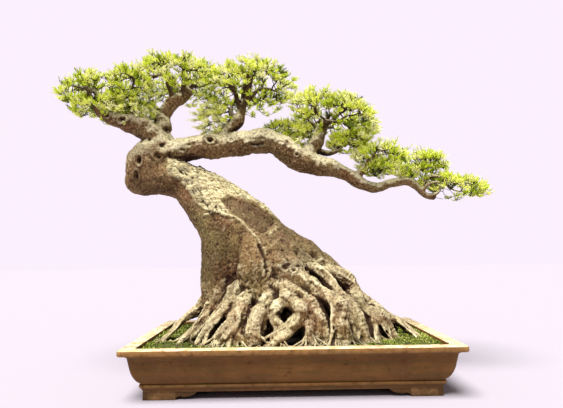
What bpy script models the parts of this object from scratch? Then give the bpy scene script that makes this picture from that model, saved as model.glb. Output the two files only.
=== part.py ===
"""A leaning old bonsai in a shallow rectangular clay pot: a flared trunk on spreading surface roots,
one long limb that sweeps back over it, and pads of small leaves on side boughs.

Metres, +Z up. The origin is on the table, midway along the tree's reach. The front is -Y.
"""

import math
import random

import bmesh
import bpy
from mathutils import Matrix, Vector
from mathutils.bvhtree import BVHTree

# ---------------------------------------------------------------- the pot
POT_LENGTH, POT_DEPTH, POT_HEIGHT = 0.81, 0.49, 0.122
POT_CENTRE = Vector((0.04, 0.0))  # right of the middle of the tree's reach
POT_CORNER = 0.012
CORNER_STEPS = 2
# The wall's outer face, from the rim down: how far in from the rim's edge, and the height.
POT_PROFILE = [(0.0025, 0.1220), (0.0, 0.1195), (0.0, 0.1105), (0.0020, 0.1090), (0.0135, 0.1090),
               (0.0175, 0.1006), (0.0210, 0.0840), (0.0246, 0.0675), (0.0300, 0.0543),
               (0.0360, 0.0450), (0.0440, 0.0378), (0.0410, 0.0355), (0.0410, 0.0300),
               (0.0440, 0.0275), (0.0480, 0.0190)]
RIM_WIDTH, RIM_BEVEL, WALL_FOOT_INSET, FLOOR_TOP = 0.033, 0.0015, 0.062, 0.034
FOOT_HEIGHT, FOOT_INSET, FOOT_THICKNESS, FOOT_SINK = 0.019, 0.0500, 0.028, 0.004
FOOT_LENGTH, FOOT_DEPTH, FOOT_SCROLL, SCROLL_STEPS = 0.128, 0.085, 0.016, 4

# ---------------------------------------------------------------- the ground
GAP = 0.0003  # between solids that touch
SOIL_BELOW_RIM = 0.012
SOIL_TOP = POT_HEIGHT - SOIL_BELOW_RIM
GROUND = SOIL_TOP + GAP  # the trunk's flat cut

# ---------------------------------------------------------------- the trunk
# Level sections of the bole: height, left edge, right edge, half depth.
BOLE = [(0.100, -0.120, 0.170, 0.075), (0.180, -0.142, 0.172, 0.084), (0.280, -0.182, 0.150, 0.100),
        (0.360, -0.193, 0.080, 0.098), (0.420, -0.203, 0.000, 0.085), (0.480, -0.235, -0.055, 0.072),
        (0.530, -0.272, -0.125, 0.058), (0.568, -0.300, -0.190, 0.046)]
BOLE_SIDES = 24
# Strands that stand out of the bole: path points, each with its radius.
STRANDS = {
    "neck": [((-0.180, 0.0, 0.510), 0.050), ((-0.262, 0.0, 0.549), 0.055), ((-0.330, 0.0, 0.572), 0.060),
             ((-0.385, 0.0, 0.568), 0.058), ((-0.412, 0.0, 0.568), 0.046), ((-0.427, 0.0, 0.570), 0.024)],
    "head": [((-0.378, -0.005, 0.545), 0.048), ((-0.376, -0.005, 0.569), 0.059),
             ((-0.364, -0.005, 0.605), 0.068), ((-0.338, 0.0, 0.648), 0.050)],
    "left_pillar": [((-0.262, -0.01, 0.540), 0.040), ((-0.205, -0.02, 0.462), 0.044),
                    ((-0.166, -0.03, 0.395), 0.046), ((-0.158, -0.04, 0.318), 0.050),
                    ((-0.150, -0.04, 0.240), 0.054), ((-0.145, -0.05, 0.090), 0.052)],
    "middle_pillar": [((-0.235, -0.01, 0.560), 0.036), ((-0.150, -0.02, 0.470), 0.050),
                      ((-0.080, -0.045, 0.390), 0.058), ((-0.048, -0.060, 0.300), 0.068),
                      ((-0.035, -0.060, 0.230), 0.066), ((-0.030, -0.050, 0.100), 0.060)],
    "right_ridge": [((-0.240, 0.01, 0.572), 0.034), ((-0.135, 0.01, 0.506), 0.038),
                    ((-0.062, 0.01, 0.453), 0.043), ((-0.008, 0.01, 0.394), 0.046),
                    ((0.052, 0.01, 0.349), 0.050), ((0.131, 0.0, 0.289), 0.050),
                    ((0.179, 0.0, 0.236), 0.046), ((0.228, -0.01, 0.172), 0.036),
                    ((0.330, -0.02, 0.112), 0.020)],
    "front_apron": [((-0.020, -0.06, 0.350), 0.040), ((0.040, -0.085, 0.280), 0.048),
                    ((0.085, -0.090, 0.200), 0.040), ((0.110, -0.095, 0.100), 0.034)],
    "back_ridge": [((-0.220, 0.02, 0.545), 0.036), ((-0.120, 0.045, 0.430), 0.048),
                   ((-0.040, 0.070, 0.320), 0.054), ((0.060, 0.095, 0.210), 0.054),
                   ((0.140, 0.115, 0.100), 0.044)],
    "back_pillar": [((-0.205, 0.02, 0.480), 0.036), ((-0.150, 0.050, 0.360), 0.042),
                    ((-0.120, 0.070, 0.240), 0.050), ((-0.105, 0.085, 0.090), 0.050)],
}
# The thick surface roots in front, from high on the bole to the ground.
FRONT_ROOTS = [
    [((0.100, -0.055, 0.299), 0.018), ((0.137, -0.065, 0.291), 0.022), ((0.174, -0.070, 0.274), 0.025),
     ((0.197, -0.075, 0.243), 0.025), ((0.208, -0.080, 0.211), 0.025), ((0.233, -0.085, 0.185), 0.022),
     ((0.269, -0.090, 0.162), 0.020), ((0.298, -0.095, 0.134), 0.016), ((0.316, -0.100, 0.105), 0.009)],
    [((-0.009, -0.090, 0.291), 0.016), ((0.019, -0.110, 0.286), 0.020), ((0.050, -0.120, 0.281), 0.021),
     ((0.078, -0.130, 0.268), 0.020), ((0.107, -0.140, 0.246), 0.020), ((0.139, -0.150, 0.219), 0.021),
     ((0.159, -0.160, 0.198), 0.022), ((0.159, -0.172, 0.170), 0.021), ((0.158, -0.178, 0.143), 0.020),
     ((0.159, -0.182, 0.110), 0.020)],
    [((-0.010, -0.100, 0.255), 0.016), ((0.019, -0.120, 0.253), 0.019), ((0.049, -0.130, 0.243), 0.019),
     ((0.076, -0.142, 0.227), 0.018), ((0.098, -0.155, 0.200), 0.017), ((0.114, -0.163, 0.172), 0.015),
     ((0.125, -0.168, 0.144), 0.013), ((0.131, -0.172, 0.114), 0.011)],
    [((0.019, -0.110, 0.240), 0.020), ((0.039, -0.135, 0.224), 0.027), ((0.060, -0.150, 0.205), 0.024),
     ((0.067, -0.160, 0.187), 0.020), ((0.054, -0.170, 0.169), 0.018), ((0.026, -0.180, 0.152), 0.016),
     ((-0.000, -0.188, 0.135), 0.013), ((-0.015, -0.190, 0.115), 0.011)],
    [((0.031, -0.130, 0.226), 0.018), ((0.008, -0.145, 0.205), 0.016), ((-0.002, -0.158, 0.180), 0.013),
     ((0.007, -0.170, 0.158), 0.011), ((0.002, -0.180, 0.131), 0.009), ((0.011, -0.185, 0.113), 0.008)],
    [((0.068, -0.155, 0.194), 0.013), ((0.081, -0.165, 0.170), 0.012), ((0.078, -0.175, 0.143), 0.010),
     ((0.091, -0.180, 0.116), 0.008)],
    [((-0.015, -0.100, 0.237), 0.020), ((-0.028, -0.125, 0.216), 0.025), ((-0.040, -0.145, 0.191), 0.024),
     ((-0.052, -0.160, 0.167), 0.022), ((-0.056, -0.172, 0.142), 0.022), ((-0.051, -0.180, 0.115), 0.018)],
    [((-0.070, -0.100, 0.225), 0.022), ((-0.082, -0.120, 0.201), 0.029), ((-0.091, -0.135, 0.178), 0.027),
     ((-0.110, -0.148, 0.158), 0.018), ((-0.129, -0.155, 0.136), 0.013), ((-0.150, -0.160, 0.113), 0.009)],
    [((-0.091, -0.135, 0.188), 0.018), ((-0.087, -0.150, 0.158), 0.013), ((-0.096, -0.160, 0.134), 0.011),
     ((-0.108, -0.165, 0.113), 0.009)],
    [((-0.100, -0.085, 0.260), 0.016), ((-0.110, -0.100, 0.240), 0.021), ((-0.116, -0.110, 0.216), 0.018),
     ((-0.139, -0.118, 0.189), 0.013), ((-0.166, -0.125, 0.161), 0.011), ((-0.190, -0.130, 0.130), 0.009),
     ((-0.201, -0.135, 0.111), 0.007)],
    [((-0.163, -0.075, 0.229), 0.013), ((-0.174, -0.085, 0.199), 0.013), ((-0.191, -0.095, 0.169), 0.011),
     ((-0.216, -0.100, 0.142), 0.009), ((-0.243, -0.105, 0.118), 0.007), ((-0.252, -0.110, 0.109), 0.006)],
    [((-0.195, -0.040, 0.221), 0.016), ((-0.207, -0.045, 0.192), 0.016), ((-0.236, -0.050, 0.171), 0.012),
     ((-0.270, -0.055, 0.146), 0.009), ((-0.295, -0.060, 0.121), 0.007), ((-0.309, -0.065, 0.109), 0.004)],
    [((0.162, -0.110, 0.228), 0.016), ((0.191, -0.120, 0.203), 0.018), ((0.206, -0.130, 0.174), 0.017),
     ((0.216, -0.140, 0.145), 0.015), ((0.228, -0.150, 0.110), 0.011)],
    [((0.235, -0.090, 0.181), 0.013), ((0.248, -0.110, 0.153), 0.012), ((0.254, -0.125, 0.127), 0.010),
     ((0.265, -0.130, 0.104), 0.008)],
    [((0.214, -0.020, 0.235), 0.018), ((0.252, -0.020, 0.199), 0.019), ((0.299, -0.030, 0.164), 0.017),
     ((0.341, -0.035, 0.145), 0.013), ((0.371, -0.050, 0.121), 0.010), ((0.392, -0.060, 0.101), 0.007)],
    [((0.082, -0.080, 0.300), 0.013), ((0.108, -0.090, 0.295), 0.016), ((0.137, -0.105, 0.266), 0.017),
     ((0.158, -0.120, 0.234), 0.016), ((0.177, -0.130, 0.204), 0.015), ((0.184, -0.140, 0.170), 0.013),
     ((0.192, -0.150, 0.135), 0.011), ((0.197, -0.155, 0.107), 0.009)],
    [((0.113, -0.085, 0.296), 0.013), ((0.135, -0.095, 0.279), 0.016), ((0.147, -0.105, 0.252), 0.015),
     ((0.159, -0.115, 0.225), 0.013), ((0.176, -0.125, 0.204), 0.012), ((0.184, -0.140, 0.174), 0.010),
     ((0.185, -0.150, 0.139), 0.008)],
    [((0.079, -0.115, 0.259), 0.013), ((0.094, -0.130, 0.222), 0.014), ((0.106, -0.145, 0.202), 0.013),
     ((0.118, -0.155, 0.177), 0.011), ((0.124, -0.165, 0.137), 0.009)],
    [((0.187, -0.090, 0.200), 0.013), ((0.215, -0.100, 0.171), 0.014), ((0.229, -0.110, 0.148), 0.012),
     ((0.243, -0.120, 0.120), 0.010)],
    [((0.037, -0.130, 0.230), 0.013), ((0.052, -0.148, 0.203), 0.014), ((0.072, -0.165, 0.181), 0.012),
     ((0.082, -0.178, 0.147), 0.009)],
    [((-0.058, -0.090, 0.228), 0.013), ((-0.081, -0.125, 0.202), 0.015), ((-0.106, -0.140, 0.180), 0.013),
     ((-0.135, -0.150, 0.154), 0.010), ((-0.155, -0.155, 0.132), 0.008)],
    [((-0.007, -0.100, 0.228), 0.015), ((-0.028, -0.135, 0.202), 0.017), ((-0.034, -0.155, 0.174), 0.014),
     ((-0.039, -0.170, 0.138), 0.011)],
]
# The other surface roots run down and out from the bole by a seeded rule, all round.
ROOT_COUNT, ROOT_SEED, ROOT_POINTS = 30, 7, 7
ROOT_ANGLE_SCATTER, ROOT_START_SHARE, ROOT_SHORTEST = 0.35, 0.88, 0.86
ROOT_START_HEIGHT, ROOT_START_SPREAD, ROOT_END_DEPTH = 0.225, 0.050, 0.010
ROOT_RADIUS, ROOT_TIP_RADIUS, ROOT_SWAY, ROOT_FLARE = 0.025, 0.0100, 0.016, 1.7
ROOT_CENTRE, ROOT_REACH = Vector((0.055, 0.0)), Vector((0.348, 0.195))
FRONT_SHARE = -0.55  # seeded roots that head further to the front than this give way to FRONT_ROOTS
TRUNK_VOXEL, TRUNK_SMOOTHING, TRUNK_TRIANGLES = 0.0070, 2, 3600

# ---------------------------------------------------------------- the boughs
# The long limb's path, each point with its radius. It is split where it bends.
LIMB = [((-0.330, 0.0, 0.640), 0.038), ((-0.263, 0.0, 0.649), 0.039), ((-0.219, 0.0, 0.655), 0.038),
        ((-0.131, 0.0, 0.664), 0.036), ((-0.036, 0.0, 0.672), 0.036), ((0.016, 0.0, 0.655), 0.038),
        ((0.075, 0.0, 0.613), 0.034), ((0.119, 0.0, 0.595), 0.032), ((0.163, 0.0, 0.588), 0.026),
        ((0.207, 0.0, 0.573), 0.021), ((0.250, 0.0, 0.543), 0.018), ((0.294, 0.0, 0.528), 0.015),
        ((0.338, 0.0, 0.541), 0.013), ((0.386, 0.0, 0.546), 0.0125), ((0.415, 0.0, 0.529), 0.011),
        ((0.437, 0.0, 0.506), 0.0095), ((0.470, 0.0, 0.497), 0.0080)]
LIMB_PIECES = {"bough_main": (0, 5), "bough_outer": (5, 11), "bough_tip": (11, 16)}
# Side boughs. Each starts inside what carries it and is cut clear of it.
SIDE_BOUGHS = {
    "bough_left": [((-0.340, -0.01, 0.660), 0.036), ((-0.372, -0.02, 0.704), 0.029),
                   ((-0.432, -0.03, 0.722), 0.023), ((-0.486, -0.03, 0.748), 0.018),
                   ((-0.520, -0.02, 0.780), 0.013)],
    "bough_top": [((-0.325, 0.01, 0.665), 0.034), ((-0.340, 0.02, 0.740), 0.026),
                  ((-0.316, 0.02, 0.786), 0.022), ((-0.275, 0.01, 0.808), 0.018),
                  ((-0.250, 0.0, 0.836), 0.014)],
    "bough_middle": [((-0.175, 0.0, 0.672), 0.024), ((-0.128, 0.01, 0.716), 0.021),
                     ((-0.104, 0.01, 0.756), 0.018), ((-0.094, 0.01, 0.796), 0.013)],
    "bough_right": [((0.080, 0.0, 0.612), 0.022), ((0.122, 0.0, 0.660), 0.019),
                    ((0.142, 0.0, 0.700), 0.015), ((0.152, 0.0, 0.728), 0.011)],
    "bough_back": [((0.000, 0.005, 0.665), 0.016), ((0.014, 0.060, 0.676), 0.011),
                   ((0.022, 0.100, 0.698), 0.008)],
    "bough_low": [((0.120, 0.005, 0.640), 0.011), ((0.160, 0.02, 0.638), 0.009),
                  ((0.190, 0.02, 0.642), 0.0070)],
    "bough_far": [((0.235, 0.0, 0.556), 0.013), ((0.262, -0.01, 0.582), 0.010),
                  ((0.280, -0.02, 0.600), 0.0075)],
    "bough_far_right": [((0.362, 0.002, 0.544), 0.0105), ((0.385, 0.012, 0.566), 0.0085),
                        ((0.405, 0.020, 0.580), 0.0065)],
    "bough_inner": [((-0.405, -0.025, 0.712), 0.012), ((-0.404, -0.040, 0.748), 0.010),
                    ((-0.402, -0.050, 0.772), 0.0075)],
}
PATH_STEPS, BOUGH_BEVEL = 2, 2
TRIM_GAP = 0.0006  # how far a parent is swollen to cut a side bough clear of it

# ---------------------------------------------------------------- the leaf masses
# What each grows from, its space's centre and half sizes, and how many twigs reach out in it.
MASSES = {
    "mass_left": ("bough_left", (-0.540, -0.01, 0.812), (0.112, 0.140, 0.090), 14),
    "mass_top": ("bough_top", (-0.290, 0.0, 0.868), (0.152, 0.165, 0.082), 19),
    "mass_middle": ("bough_middle", (-0.065, 0.0, 0.832), (0.158, 0.165, 0.092), 20),
    "mass_right": ("bough_right", (0.180, 0.0, 0.750), (0.148, 0.155, 0.082), 18),
    "mass_inner": ("bough_inner", (-0.405, -0.05, 0.812), (0.078, 0.120, 0.076), 8),
    "mass_back": ("bough_back", (0.030, 0.125, 0.735), (0.080, 0.075, 0.046), 6),
    "mass_low": ("bough_low", (0.222, 0.015, 0.662), (0.076, 0.110, 0.044), 7),
    "mass_far": ("bough_far", (0.305, -0.02, 0.608), (0.095, 0.115, 0.066), 10),
    "mass_far_right": ("bough_far_right", (0.435, 0.02, 0.592), (0.095, 0.105, 0.062), 9),
    "mass_tip": ("bough_tip", (0.520, 0.0, 0.528), (0.120, 0.090, 0.056), 11),
}
MASS_SEED = 31
GOLDEN_ANGLE = math.pi * (3 - math.sqrt(5))
TWIG_SIDES, TWIG_TAPER, TWIG_TIP_RADIUS = 3, 0.78, 0.0024
TWIG_SINK = 0.5  # share of its parent's radius that a twig starts behind the parent's axis
PATH_WEIGHT = 0.35  # how strongly a new twig prefers to start near the stem
STEM_LENGTH, STEM_SHARE = 0.022, 0.85  # its radius as a share of its bough's
SPRAY, LEAF_LENGTH, LEAF_WIDTH, LEAF_THICKNESS = 2, 0.064, 0.034, 0.0045
LEAF_ROOT, LEAF_SPREAD = 0.05, 0.75  # share of its length sunk in the twig, and fan of a spray
LEAF_STEP, LEAF_LIFT, LEAF_ROLL, LEAF_TRIES = 0.2, 0.1, 0.6, 6
LEAF_SMALLEST, FULL_LEAF_HALF = 0.68, 0.078  # shallow masses have smaller leaves
DOME_INSET = 0.62  # of a leaf's length, from the space's edge in to the twigs' ends
DOME_THINNEST, DOME_DROOP = 0.3, 0.6  # how unevenly the twigs' ends rise, and the outer ones hang
CLEARANCE, OWN_SIDE = 0.0020, 0.02  # from other solids, and from the next mass's space

COLOURS = {  # colour, roughness
    "clay": ((0.20, 0.115, 0.060), 0.60),
    "soil": ((0.035, 0.055, 0.010), 1.0),
    "bark": ((0.36, 0.27, 0.17), 0.85),
    "leaf": ((0.30, 0.50, 0.035), 0.60),
}


# ---------------------------------------------------------------- scene and mesh helpers
def start_afresh():
    for old in list(bpy.data.objects):
        bpy.data.objects.remove(old)


def new_collection(name):
    made = bpy.data.collections.new(name)
    bpy.context.scene.collection.children.link(made)
    return made


def new_material(name):
    colour, roughness = COLOURS[name]
    made = bpy.data.materials.new(name)
    made.use_nodes = True
    shader = made.node_tree.nodes["Principled BSDF"]
    shader.inputs["Base Color"].default_value = (*colour, 1.0)
    shader.inputs["Roughness"].default_value = roughness
    shader.inputs["Metallic"].default_value = 0.0
    return made


def new_object(name, mesh, collection):
    made = bpy.data.objects.new(name, mesh)
    collection.objects.link(made)
    return made


def mesh_of(bm, name):
    """The finished mesh of bm, with its faces pointing out."""
    bmesh.ops.recalc_face_normals(bm, faces=bm.faces)
    mesh = bpy.data.meshes.new(name)
    bm.to_mesh(mesh)
    bm.free()
    return mesh


def evaluated_mesh(source):
    graph = bpy.context.evaluated_depsgraph_get()
    return bpy.data.meshes.new_from_object(source.evaluated_get(graph))


def bake(source):
    """Applies source's modifiers."""
    source.data = evaluated_mesh(source)
    source.modifiers.clear()


def keep_largest_shell(mesh):
    """Drops loose scraps, and the walls of sealed hollows, which fills those."""
    bm = bmesh.new()
    bm.from_mesh(mesh)
    bmesh.ops.remove_doubles(bm, verts=bm.verts, dist=1e-6)
    shells, seen = [], set()
    for first in bm.verts:
        if first in seen:
            continue
        shell, waiting = [], [first]
        seen.add(first)
        while waiting:
            vertex = waiting.pop()
            shell.append(vertex)
            for edge in vertex.link_edges:
                other = edge.other_vert(vertex)
                if other not in seen:
                    seen.add(other)
                    waiting.append(other)
        shells.append(shell)
    shells.sort(key=len)
    for shell in shells[:-1]:
        bmesh.ops.delete(bm, geom=shell, context="VERTS")
    bm.to_mesh(mesh)
    bm.free()


def boolean(target, operation, cutter):
    """Joins or cuts target with cutter, an object or a collection, and removes the cutter."""
    modifier = target.modifiers.new("cut", "BOOLEAN")
    modifier.operation = operation
    modifier.solver = "EXACT"
    if isinstance(cutter, bpy.types.Collection):
        modifier.operand_type = "COLLECTION"
        modifier.collection = cutter
        used = list(cutter.objects)
    else:
        modifier.object = cutter
        used = [cutter]
    bake(target)
    for piece in used:
        bpy.data.objects.remove(piece)
    keep_largest_shell(target.data)


def mesh_object(name, shape, collection, place=Matrix.Identity(4)):
    """Turns a curve object into a closed mesh object, moved by place."""
    mesh = evaluated_mesh(shape)
    mesh.transform(place @ shape.matrix_world)
    bpy.data.objects.remove(shape)
    bm = bmesh.new()
    bm.from_mesh(mesh)
    bmesh.ops.remove_doubles(bm, verts=bm.verts, dist=1e-6)
    return new_object(name, mesh_of(bm, name), collection)


def smooth_path(points, steps):
    """A Catmull-Rom curve through points, each (place, radius), as a longer list of the same."""
    fine = []
    last = len(points) - 1
    for i in range(last):
        a, b, c, d = (points[min(max(k, 0), last)] for k in (i - 1, i, i + 1, i + 2))
        for step in range(steps):
            t = step / steps
            weights = (-t + 2 * t**2 - t**3, 2 - 5 * t**2 + 3 * t**3, t + 4 * t**2 - 3 * t**3, t**3 - t**2)
            place = sum((w * Vector(p[0]) for w, p in zip(weights, (a, b, c, d))), Vector()) / 2
            fine.append((place, b[1] + (c[1] - b[1]) * t))
    fine.append((Vector(points[last][0]), points[last][1]))
    return fine


def tube(name, path, bevel, collection):
    """A closed tube along path, whose points are (place, radius)."""
    curve = bpy.data.curves.new(name, "CURVE")
    curve.dimensions = "3D"
    curve.bevel_depth = 1.0
    curve.bevel_resolution = bevel
    curve.use_fill_caps = True
    spline = curve.splines.new("POLY")
    spline.points.add(len(path) - 1)
    for point, (place, radius) in zip(spline.points, path):
        point.co = (*place, 1.0)
        point.radius = radius
    return mesh_object(name, new_object(name + "_curve", curve, collection), collection)


# ---------------------------------------------------------------- pot and soil
def pot_ring(bm, inset, height):
    """A rounded rectangle, inset from the rim's edge."""
    half_x, half_y = POT_LENGTH / 2 - inset, POT_DEPTH / 2 - inset
    ring = []
    for corner in range(4):
        middle = math.radians(45 + 90 * corner)
        centre_x = math.copysign(half_x - POT_CORNER, math.cos(middle))
        centre_y = math.copysign(half_y - POT_CORNER, math.sin(middle))
        for step in range(CORNER_STEPS + 1):
            angle = middle + math.radians(90 * step / CORNER_STEPS - 45)
            x = POT_CENTRE.x + centre_x + POT_CORNER * math.cos(angle)
            y = POT_CENTRE.y + centre_y + POT_CORNER * math.sin(angle)
            ring.append(bm.verts.new((x, y, height)))
    return ring


def loft(bm, rings):
    """Closed skin over rings of equal count, with flat ends."""
    for lower, upper in zip(rings, rings[1:]):
        for k in range(len(lower)):
            n = (k + 1) % len(lower)
            bm.faces.new((lower[k], lower[n], upper[n], upper[k]))
    bm.faces.new(rings[0])
    bm.faces.new(rings[-1])


def foot_panel(length, place, collection):
    """One side of a bracket foot: a flat outline that runs along +X, with a scrolled end."""
    curve = bpy.data.curves.new("panel", "CURVE")
    curve.dimensions = "2D"
    curve.fill_mode = "BOTH"
    curve.extrude = FOOT_THICKNESS / 2
    outline = [(0.0, FOOT_HEIGHT + FOOT_SINK), (0.0, 0.0)]
    for step in range(SCROLL_STEPS + 1):
        angle = math.radians(90 * step / SCROLL_STEPS)
        outline.append((length - FOOT_SCROLL * math.cos(angle), FOOT_HEIGHT * math.sin(angle)))
    outline.append((length, FOOT_HEIGHT + FOOT_SINK))
    spline = curve.splines.new("POLY")
    spline.points.add(len(outline) - 1)
    for point, (x, y) in zip(spline.points, outline):
        point.co = (x, y, 0.0, 1.0)
    spline.use_cyclic_u = True
    shape = new_object("panel_curve", curve, collection)
    return mesh_object("panel", shape, collection, place)


def make_pot(parts, cutters):
    bm = bmesh.new()
    inside = [(WALL_FOOT_INSET, FLOOR_TOP), (RIM_WIDTH, SOIL_TOP), (RIM_WIDTH, POT_HEIGHT - RIM_BEVEL),
              (RIM_WIDTH - RIM_BEVEL, POT_HEIGHT)]
    loft(bm, [pot_ring(bm, inset, height) for inset, height in inside + POT_PROFILE])
    pot = new_object("pot", mesh_of(bm, "pot"), parts)
    stand_up = Matrix.Rotation(math.radians(90), 4, "X")
    thin = Matrix.Translation((0.0, FOOT_THICKNESS / 2, 0.0))
    for side_x in (-1, 1):
        for side_y in (-1, 1):
            corner = Matrix.Translation((POT_CENTRE.x + side_x * (POT_LENGTH / 2 - FOOT_INSET),
                                         side_y * (POT_DEPTH / 2 - FOOT_INSET), 0.0))
            mirror = Matrix.Diagonal((-side_x, -side_y, 1.0, 1.0))
            turn = Matrix(((0, 1, 0, 0), (1, 0, 0, 0), (0, 0, 1, 0), (0, 0, 0, 1)))
            along_x = foot_panel(FOOT_LENGTH, corner @ mirror @ thin @ stand_up, cutters)
            along_y = foot_panel(FOOT_DEPTH, corner @ mirror @ turn @ thin @ stand_up, cutters)
            boolean(along_x, "UNION", along_y)
            boolean(pot, "UNION", along_x)
    return pot


def make_soil(parts):
    bm = bmesh.new()
    walls = [(WALL_FOOT_INSET + GAP, FLOOR_TOP + GAP), (RIM_WIDTH + GAP, SOIL_TOP)]
    loft(bm, [pot_ring(bm, inset, height) for inset, height in walls])
    return new_object("soil", mesh_of(bm, "soil"), parts)


# ---------------------------------------------------------------- trunk
def bole_at(height):
    """The bole's level section at a height: its centre's x, half width and half depth."""
    for low, high in zip(BOLE, BOLE[1:]):
        if height <= high[0]:
            share = (height - low[0]) / (high[0] - low[0])
            left, right, depth = (a + (b - a) * share for a, b in zip(low[1:], high[1:]))
            break
    return (left + right) / 2, (right - left) / 2, depth


def make_bole(collection):
    bm = bmesh.new()
    rings = []
    for height, left, right, depth in BOLE:
        ring = []
        for k in range(BOLE_SIDES):
            angle = 2 * math.pi * k / BOLE_SIDES
            x = (left + right) / 2 + (right - left) / 2 * math.cos(angle)
            ring.append(bm.verts.new((x, depth * math.sin(angle), height)))
        rings.append(ring)
    loft(bm, rings)
    return new_object("bole", mesh_of(bm, "bole"), collection)


def root_path(index, rng):
    """How far to the back one surface root heads, and its path: from high on the bole's flank,
    down and out to just under the ground."""
    angle = 2 * math.pi * (index + rng.uniform(-1, 1) * ROOT_ANGLE_SCATTER) / ROOT_COUNT
    out = Vector((math.cos(angle), math.sin(angle)))
    top = ROOT_START_HEIGHT + rng.uniform(-1, 1) * ROOT_START_SPREAD
    centre_x, half_x, half_y = bole_at(top)
    start = Vector((centre_x, 0.0)) + ROOT_START_SHARE * Vector((half_x * out.x, half_y * out.y))
    reach = rng.uniform(ROOT_SHORTEST, 1.0)
    end = ROOT_CENTRE + Vector((ROOT_REACH.x * out.x, ROOT_REACH.y * out.y)) * reach
    bottom = GROUND - ROOT_END_DEPTH
    side = Vector((-out.y, out.x))
    phase = rng.uniform(0, 2 * math.pi)
    radius = ROOT_RADIUS * rng.uniform(0.75, 1.2)
    path = []
    for k in range(ROOT_POINTS):
        t = k / (ROOT_POINTS - 1)
        sway = ROOT_SWAY * math.sin(phase + 5.0 * t) * math.sin(math.pi * t)
        place = start.lerp(end, t) + side * sway
        height = bottom + (top - bottom) * (1 - t) ** ROOT_FLARE
        path.append((Vector((place.x, place.y, height)), radius + (ROOT_TIP_RADIUS - radius) * t))
    return out.y, path


def make_trunk(parts, cutters):
    make_bole(cutters)
    for name, points in STRANDS.items():
        tube(name, smooth_path(points, PATH_STEPS), BOUGH_BEVEL, cutters)
    rng = random.Random(ROOT_SEED)
    for index in range(ROOT_COUNT):
        back, path = root_path(index, rng)
        if back > FRONT_SHARE:
            tube("root", path, BOUGH_BEVEL, cutters)
    for points in FRONT_ROOTS:
        path = [(place, max(radius, ROOT_TIP_RADIUS)) for place, radius in smooth_path(points, 2)]
        tube("root", path, BOUGH_BEVEL, cutters)
    bm = bmesh.new()
    for strand in list(cutters.objects):
        bm.from_mesh(strand.data)
        bpy.data.objects.remove(strand)
    trunk = new_object("trunk", mesh_of(bm, "trunk"), parts)
    skin = trunk.modifiers.new("skin", "REMESH")
    skin.mode = "VOXEL"
    skin.voxel_size = TRUNK_VOXEL
    bake(trunk)
    keep_largest_shell(trunk.data)
    soften = trunk.modifiers.new("soften", "SMOOTH")
    soften.iterations = TRUNK_SMOOTHING
    thin = trunk.modifiers.new("thin", "DECIMATE")
    thin.ratio = TRUNK_TRIANGLES / (2 * len(trunk.data.polygons))
    bake(trunk)
    bm = bmesh.new()
    bmesh.ops.create_cube(bm, size=1.0)
    below = new_object("below_ground", mesh_of(bm, "below_ground"), cutters)
    below.data.transform(Matrix.Translation((0.0, 0.0, GROUND - 0.5)) @ Matrix.Diagonal((2, 2, 1, 1)))
    boolean(trunk, "DIFFERENCE", below)
    return trunk


# ---------------------------------------------------------------- boughs
def solid_tree(solid):
    bm = bmesh.new()
    bm.from_mesh(solid.data)
    tree = BVHTree.FromBMesh(bm)
    bm.free()
    return tree


def slice_tube(piece, place, normal):
    """Cuts off what lies on the far side of a plane and closes the cut."""
    bm = bmesh.new()
    bm.from_mesh(piece.data)
    cut = bmesh.ops.bisect_plane(bm, geom=bm.verts[:] + bm.edges[:] + bm.faces[:], dist=1e-7,
                                 plane_co=place, plane_no=normal, clear_outer=True)
    edges = [e for e in cut["geom_cut"] if isinstance(e, bmesh.types.BMEdge)]
    bmesh.ops.contextual_create(bm, geom=edges)
    bmesh.ops.recalc_face_normals(bm, faces=bm.faces)
    bm.to_mesh(piece.data)
    bm.free()


def trim_clear(piece, others):
    """Cuts piece clear of each of others that it runs into."""
    for other in others:
        if not solid_tree(piece).overlap(solid_tree(other)):
            continue
        cutter = new_object("swollen", other.data.copy(), piece.users_collection[0])
        for vertex in cutter.data.vertices:
            vertex.co += vertex.normal * TRIM_GAP
        boolean(piece, "DIFFERENCE", cutter)


def make_limb(parts, trunk):
    """The long limb, as pieces that meet at flat cuts where it bends."""
    pieces = []
    for name, (first, last) in LIMB_PIECES.items():
        stretch = LIMB[max(first - 1, 0):last + 2]
        piece = tube(name, smooth_path(stretch, PATH_STEPS), BOUGH_BEVEL, parts)
        for index, sign in ((first, -1), (last, 1)):
            if 0 < index < len(LIMB) - 1:
                before, after = Vector(LIMB[index - 1][0]), Vector(LIMB[index + 1][0])
                along = (after - before).normalized() * sign
                slice_tube(piece, Vector(LIMB[index][0]) - along * GAP / 2, along)
        pieces.append(piece)
    trim_clear(pieces[0], [trunk])
    return pieces


def make_boughs(parts, trunk):
    made = make_limb(parts, trunk)
    for name, points in SIDE_BOUGHS.items():
        bough = tube(name, smooth_path(points, PATH_STEPS), BOUGH_BEVEL, parts)
        trim_clear(bough, [trunk] + made)
        made.append(bough)
    return made


# ---------------------------------------------------------------- leaf masses
class Space:
    """The room that one mass keeps to: the part of an ellipsoid that is nearest its own centre."""

    def __init__(self, centre, half):
        self.centre, self.half = Vector(centre), Vector(half)
        self.leaf_size = min(1.0, max(LEAF_SMALLEST, self.half.z / FULL_LEAF_HALF))

    def depth(self, place):
        offset = place - self.centre
        return math.sqrt(sum((o / h) ** 2 for o, h in zip(offset, self.half)))

    def holds(self, place, others):
        own = self.depth(place)
        rivals = [other.depth(place) for other in others if other is not self]
        return own <= 1.0 and own + OWN_SIDE < min(rivals)


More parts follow.
